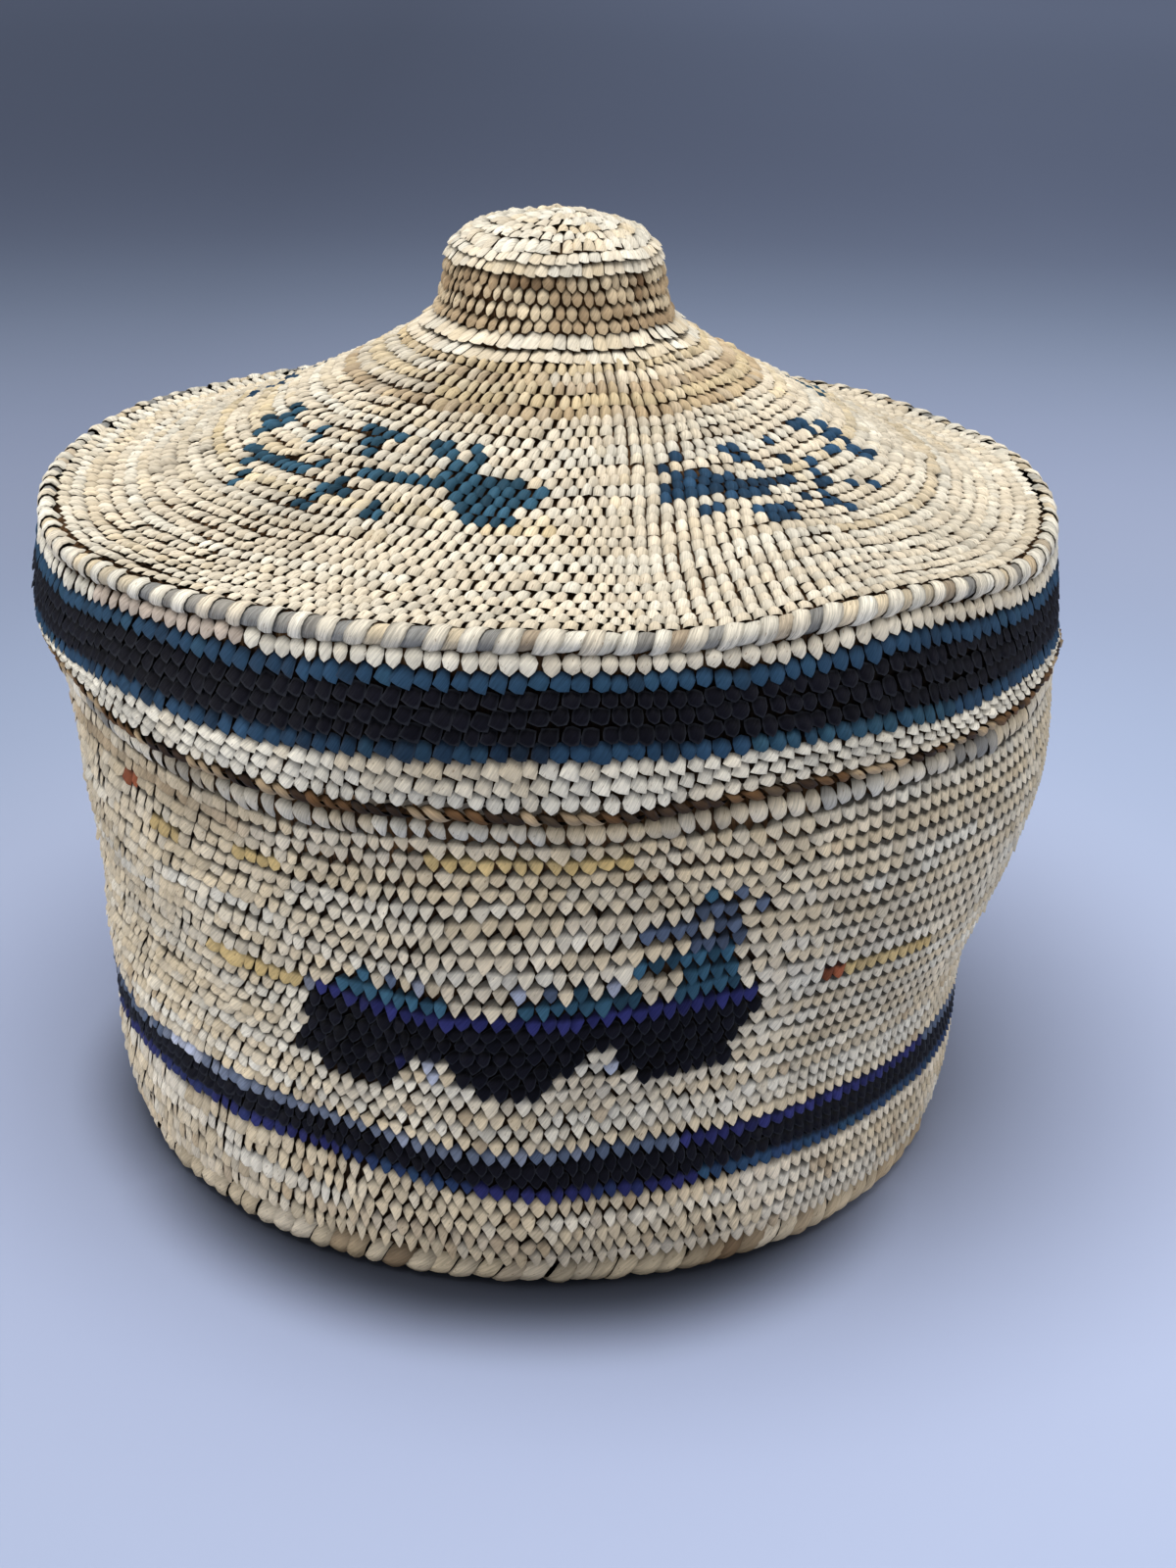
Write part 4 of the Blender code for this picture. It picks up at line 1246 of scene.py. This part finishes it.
class BASKET_OT_top(bpy.types.Operator):
    """Weave the lid's sloping top with its blue figures"""

    bl_idname = "basket.top"
    bl_label = "Lid top"

    def execute(self, context):
        path = cone_path(STITCH_SINK)
        zones = (
            ("lid_outer_courses", 11, FIGURE_RADIUS, {"white": 3, "cream": 5, "aged": 1}, "pale_grass"),
            ("lid_figure_courses", 12, SHOULDER_RADIUS, {"cream": 5, "white": 2, "yellow": 1},
                "pale_grass"),
            ("lid_shoulder_courses", 5, CONE_INNER - 0.2, {"cream": 2, "yellow": 4, "white": 1, "tan": 2},
                "natural_grass"),
        )
        start = 0.0
        row = 0
        for seed, (node, courses, border, mix, slot) in enumerate(zones):
            weave = Weave("fine", 400 + seed)
            tall = (path.at_radius(border) - start) / courses
            for number in range(courses):
                at = start + (number + 0.5) * tall
                count = cone_count(path.at(at)[0])
                colours = weave.tones(count, mix, (12, 60))
                azimuth = wrapped(np.arange(count) * 360.0 / count)
                left = ease(azimuth, -110.0, -80.0) * (1.0 - ease(azimuth, 4.0, 16.0))
                phase = (-0.38 * row % 1.0) * left
                turn = (np.arange(count) + phase) * 360.0 / count
                for name, figure in (("teal", LID_LEFT_FIGURE), ("blue", LID_RIGHT_FIGURE)):
                    spans = figure.get(row - zones[0][1], ())
                    weave.chart(colours, turn, [(name, *span) for span in spans])
                beside = ease(np.abs(azimuth), 22.0, 50.0)[:, None, None]
                shape = (TOP_TILE * (1.0 - beside) + TOP_POINT * beside) * (0.96, 1.16, 1.3)
                # The top and side values set painted shade on the stitches' covered ends and sides.
                weave.course(
                    path, at, tall, shape, colours, count, phase, 70.0, crisp=0.75, curl=0.15, top=0.4,
                    painted_side_shade=0.25)
                row += 1
            start = path.at_radius(border)
            weave.finish(node + "_weave", "lid", slot, node)
        return {"FINISHED"}


class BASKET_OT_knob(bpy.types.Operator):
    """Weave the hollow knob: foot ridge, neck, top ridge and domed crown"""

    bl_idname = "basket.knob"
    bl_label = "Knob"

    def execute(self, context):
        path = Path(KNOB_LINE).sunk(STITCH_SINK)
        foot, neck, top, crown = (float(path.at_height(level)) for level in KNOB_LEVELS)
        self.ridge("knob_foot", path, foot - 0.9, neck, KNOB_FOOT_STITCHES, 500)
        weave = Weave("fine", 510)
        weave.rows(
            path, neck, (top - neck) / 4.0, PEBBLE * (0.98, 1.06, 1.1), [KNOB_STITCHES] * 4,
            {"tan": 6, "aged": 3, "bark": 2}, (1, 8), odd=0.08)
        weave.finish("knob_neck_weave", "lid", "natural_grass", "knob_neck_courses")
        self.ridge("knob_top", path, top, crown, KNOB_TOP_STITCHES, 520)
        weave = Weave("fine", 530)
        tall = (path.length - crown) / len(CROWN_RINGS)
        weave.rows(
            path, crown, tall, TOP_TILE * (1.1, 1.12, 1.0), CROWN_RINGS, {"cream": 3, "white": 7, "aged": 2},
            (1, 5), np.arange(len(CROWN_RINGS)) * 0.3, 1.05, fibre=50.0, crisp=0.3, wobble=1.6, odd=0.12)
        weave.finish("knob_crown_weave", "lid", "natural_grass", "knob_crown_courses")
        return {"FINISHED"}

    def ridge(self, name, path, low, high, count, seed):
        """Two rings of large stitches, the lower one wider."""
        weave = Weave("long", seed)
        weave.rows(
            path, low, (high - low) / 2.0, SQUARE * (1.06, 1.24, 1.1) + (0.0, 0.0, 0.12), (count + 6, count),
            {"white": 4, "aged": 3, "cream": 3}, (1, 4), fibre=65.0, crisp=0.4, wobble=0.7, odd=0.1)
        weave.finish(name + "_strands", "lid", "pale_grass", name + "_ridge")


class BASKET_OT_uprights(bpy.types.Operator):
    """Spin the shells of cedar uprights that the courses are wrapped on"""

    bl_idname = "basket.uprights"
    bl_label = "Uprights"

    def execute(self, context):
        wall = wall_path(0.0)
        neck = radius_of("neck_courses")
        rim = span_of("neck_courses")[1] + 1.1
        outer, inner = self.faces(wall, [wall.at_height(height) for height in np.linspace(4.9, 64.0, 30)])
        ledge = outer[-1][0] - 0.1
        outer += [(ledge, 66.05), (neck - SHELL_OUTER, 66.15), (neck - SHELL_OUTER, rim)]
        inner += [(ledge - 0.4, 65.6), (neck - SHELL_INNER, 65.7), (neck - SHELL_INNER, rim)]
        under = [(29.0, 1.5), (51.0, 1.5), (54.6, 3.0)]
        over = [(54.0, 3.5), (50.6, 2.0), (29.0, 2.0)]
        spun_shell("basket_uprights", under + outer + inner[::-1] + over, "basket", "body_warps")
        skirt, top = skirt_path(0.0), cone_path(0.0)
        low = span_of("lid_skirt_white_courses")[0]
        outer, inner = self.faces(skirt, [skirt.at_height(height) for height in np.linspace(low, 86.0, 12)])
        more_outer, more_inner = self.faces(top, np.linspace(0.4, top.length - 0.6, 30))
        outer, inner = outer + more_outer, inner + more_inner
        for depth, line in ((SHELL_OUTER, outer), (SHELL_INNER, inner)):
            knob = Path(KNOB_LINE).sunk(depth).line[2:-1]
            line.extend([*knob[:-1], (0.0, knob[-1][1])])
        spun_shell("lid_uprights", outer + inner[::-1], "lid", "lid_warps")
        return {"FINISHED"}

    def faces(self, path, places):
        """Points of the uprights' outer and inner faces at some places along a path."""
        return ([path.at(along, -depth) for along in places] for depth in (SHELL_OUTER, SHELL_INNER))


class BASKET_OT_base(bpy.types.Operator):
    """Weave the ring of the base and plait its bark centre"""

    bl_idname = "basket.base"
    bl_label = "Base"

    def execute(self, context):
        inner = radius_of("base_plait")
        path = Path([(inner + 0.2, RING_LEVEL), (radius_of("base_courses"), RING_LEVEL)])
        tall = path.length / BASE_COURSES
        weave = Weave("plain", 600)
        counts = ring_counts(inner + (np.arange(BASE_COURSES) + 0.5) * tall)
        weave.rows(path, 0.0, tall, TILE, counts, {"aged": 4, "tan": 3, "cream": 2})
        weave.finish("base_weave", "basket", "natural_grass", "base_courses")
        self.plait(inner)
        return {"FINISHED"}

    def plait(self, reach):
        """Checker plait of flat bark strips, over and under each other."""
        wide = PLAIT_STRIP
        strips = int(reach * 2.0 // wide)
        vertices, faces, coords = [], [], []
        for turned in (False, True):
            for strip in range(strips):
                middle = (strip + 0.5) * wide - strips * wide / 2.0
                half = math.sqrt(max(reach ** 2 - (abs(middle) + wide / 2.0) ** 2, 9.0))
                cells = max(int(half * 2.0 / (wide / 2.0)), 4)
                start = len(vertices)
                for step in range(cells + 1):
                    run = -half + 2.0 * half * step / cells
                    wave = math.cos(math.pi * (run / wide + 0.5 * (strips % 2)) + math.pi * (strip % 2))
                    level = PLAIT_LEVEL + (0.42 if turned else -0.42) * wave
                    for side, lift in ((-0.47, -0.2), (0.47, -0.2), (0.47, 0.2), (-0.47, 0.2)):
                        place = (middle + side * wide, run) if turned else (run, middle + side * wide)
                        vertices.append([c * MM for c in (*place, level + lift)])
                        coords.append((middle * 3.0 + side * wide + (400.0 if turned else 0.0), run))
                last = start + cells * 4
                for base in range(start, last, 4):
                    for corner, ahead in ((0, 1), (1, 2), (2, 3), (3, 0)):
                        faces.append((base + corner, base + ahead, base + 4 + ahead, base + 4 + corner))
                faces.append((start + 3, start + 2, start + 1, start))
                faces.append((last, last + 1, last + 2, last + 3))
        mesh = bpy.data.meshes.new("base_plait_strips")
        mesh.from_pydata(vertices, [], faces)
        piece = bpy.data.objects.new("base_plait_strips", mesh)
        bpy.context.scene.collection.objects.link(piece)
        layer = mesh.uv_layers.new(name="Strand")
        for face in mesh.polygons:
            for corner, index in zip(face.loop_indices, face.vertices):
                layer.data[corner].uv = coords[index]
        deselect()
        piece.select_set(True)
        bpy.context.view_layer.objects.active = piece
        bpy.ops.object.mode_set(mode="EDIT")
        close_edit()
        mesh.materials.append(bark_material("plaited_bark", 2.4))
        finish_piece(piece, "basket", "cedar_bark", "base_plait")


def ring_counts(radii):
    """Stitches round rings of these radii."""
    return [int(round(2.0 * math.pi * radius / RING_STITCH)) for radius in radii]


class BASKET_OT_inside(bpy.types.Operator):
    """Weave the inner face of the basket and of the lid"""

    bl_idname = "basket.inside"
    bl_label = "Inside"

    def execute(self, context):
        neck = radius_of("neck_courses") - INNER_FACE
        low, high = span_of("neck_courses")
        mix = {"aged": 3, "tan": 3, "cream": 1}
        weave = Weave("plain", 700)
        path = lined(WALL_LINE, np.linspace(63.8, 3.6, 50), INNER_FACE)
        self.line(weave, path, [WALL_STITCHES] * INSIDE_COURSES["wall"], mix)
        path = Path([(neck, high), (neck, low - 2.4)])
        self.line(weave, path, [WALL_STITCHES] * INSIDE_COURSES["neck"], mix)
        path = Path([(53.6, 2.4), (30.4, 2.4)])
        rows = np.arange(INSIDE_COURSES["base"]) + 0.5
        counts = ring_counts(53.6 - rows * path.length / len(rows))
        self.line(weave, path, counts, {"aged": 3, "tan": 4, "cream": 1})
        weave.finish("basket_inside_weave", "basket", "natural_grass", "body_warps")
        weave = Weave("plain", 710)
        path = cone(np.linspace(CONE_INNER - 1.0, EDGE_RADIUS - 2.4, 50), INNER_FACE)
        rows = np.arange(INSIDE_COURSES["lid top"]) + 0.5
        counts = [cone_count(path.at(row * path.length / len(rows))[0]) for row in rows]
        self.line(weave, path, counts, {"aged": 3, "cream": 3, "tan": 1})
        low = span_of("lid_skirt_white_courses")[0] - 0.5
        path = lined(SKIRT_LINE, np.linspace(86.0, low, 30), INNER_FACE)
        counts = [SKIRT_STITCHES] * INSIDE_COURSES["lid side"]
        self.line(weave, path, counts, {"white": 3, "cream": 2, "aged": 2})
        weave.finish("lid_inside_weave", "lid", "natural_grass", "lid_warps")
        return {"FINISHED"}

    def line(self, weave, path, counts, mix):
        """Cover a path from end to end with plain courses."""
        weave.rows(path, 0.0, path.length / len(counts), PLAIN, counts, mix)


OPERATORS = (
    BASKET_OT_stage, BASKET_OT_uprights, BASKET_OT_base, BASKET_OT_foot, BASKET_OT_wall,
    BASKET_OT_shoulder, BASKET_OT_skirt, BASKET_OT_top, BASKET_OT_knob, BASKET_OT_inside,
)


class BASKET_PT_panel(bpy.types.Panel):
    """Lists the basket's parts"""

    bl_idname = "BASKET_PT_panel"
    bl_label = "Lidded twined basket"
    bl_space_type = "VIEW_3D"
    bl_region_type = "UI"
    bl_category = "Basket"

    def draw(self, context):
        scene = context.scene
        for group in (scene.basket_weave, scene.basket_dyes, scene.basket_stage):
            box = self.layout.box()
            for key in group.__annotations__:
                box.prop(group, key)
        for operator in OPERATORS:
            self.layout.operator(operator.bl_idname)


CLASSES = (BasketDyes, BasketStage, BasketWeave, *OPERATORS, BASKET_PT_panel)


def register():
    """Register the classes and their settings."""
    for item in CLASSES:
        bpy.utils.register_class(item)
    bpy.types.Scene.basket_dyes = PointerProperty(type=BasketDyes)
    bpy.types.Scene.basket_stage = PointerProperty(type=BasketStage)
    bpy.types.Scene.basket_weave = PointerProperty(type=BasketWeave)


def unregister():
    """Remove the settings and the classes."""
    del bpy.types.Scene.basket_dyes
    del bpy.types.Scene.basket_stage
    del bpy.types.Scene.basket_weave
    for item in reversed(CLASSES):
        bpy.utils.unregister_class(item)


def main():
    """Build the whole basket in order."""
    register()
    for operator in OPERATORS:
        group, name = operator.bl_idname.split(".")
        getattr(getattr(bpy.ops, group), name)()
    deselect()


if __name__ == "__main__":
    main()
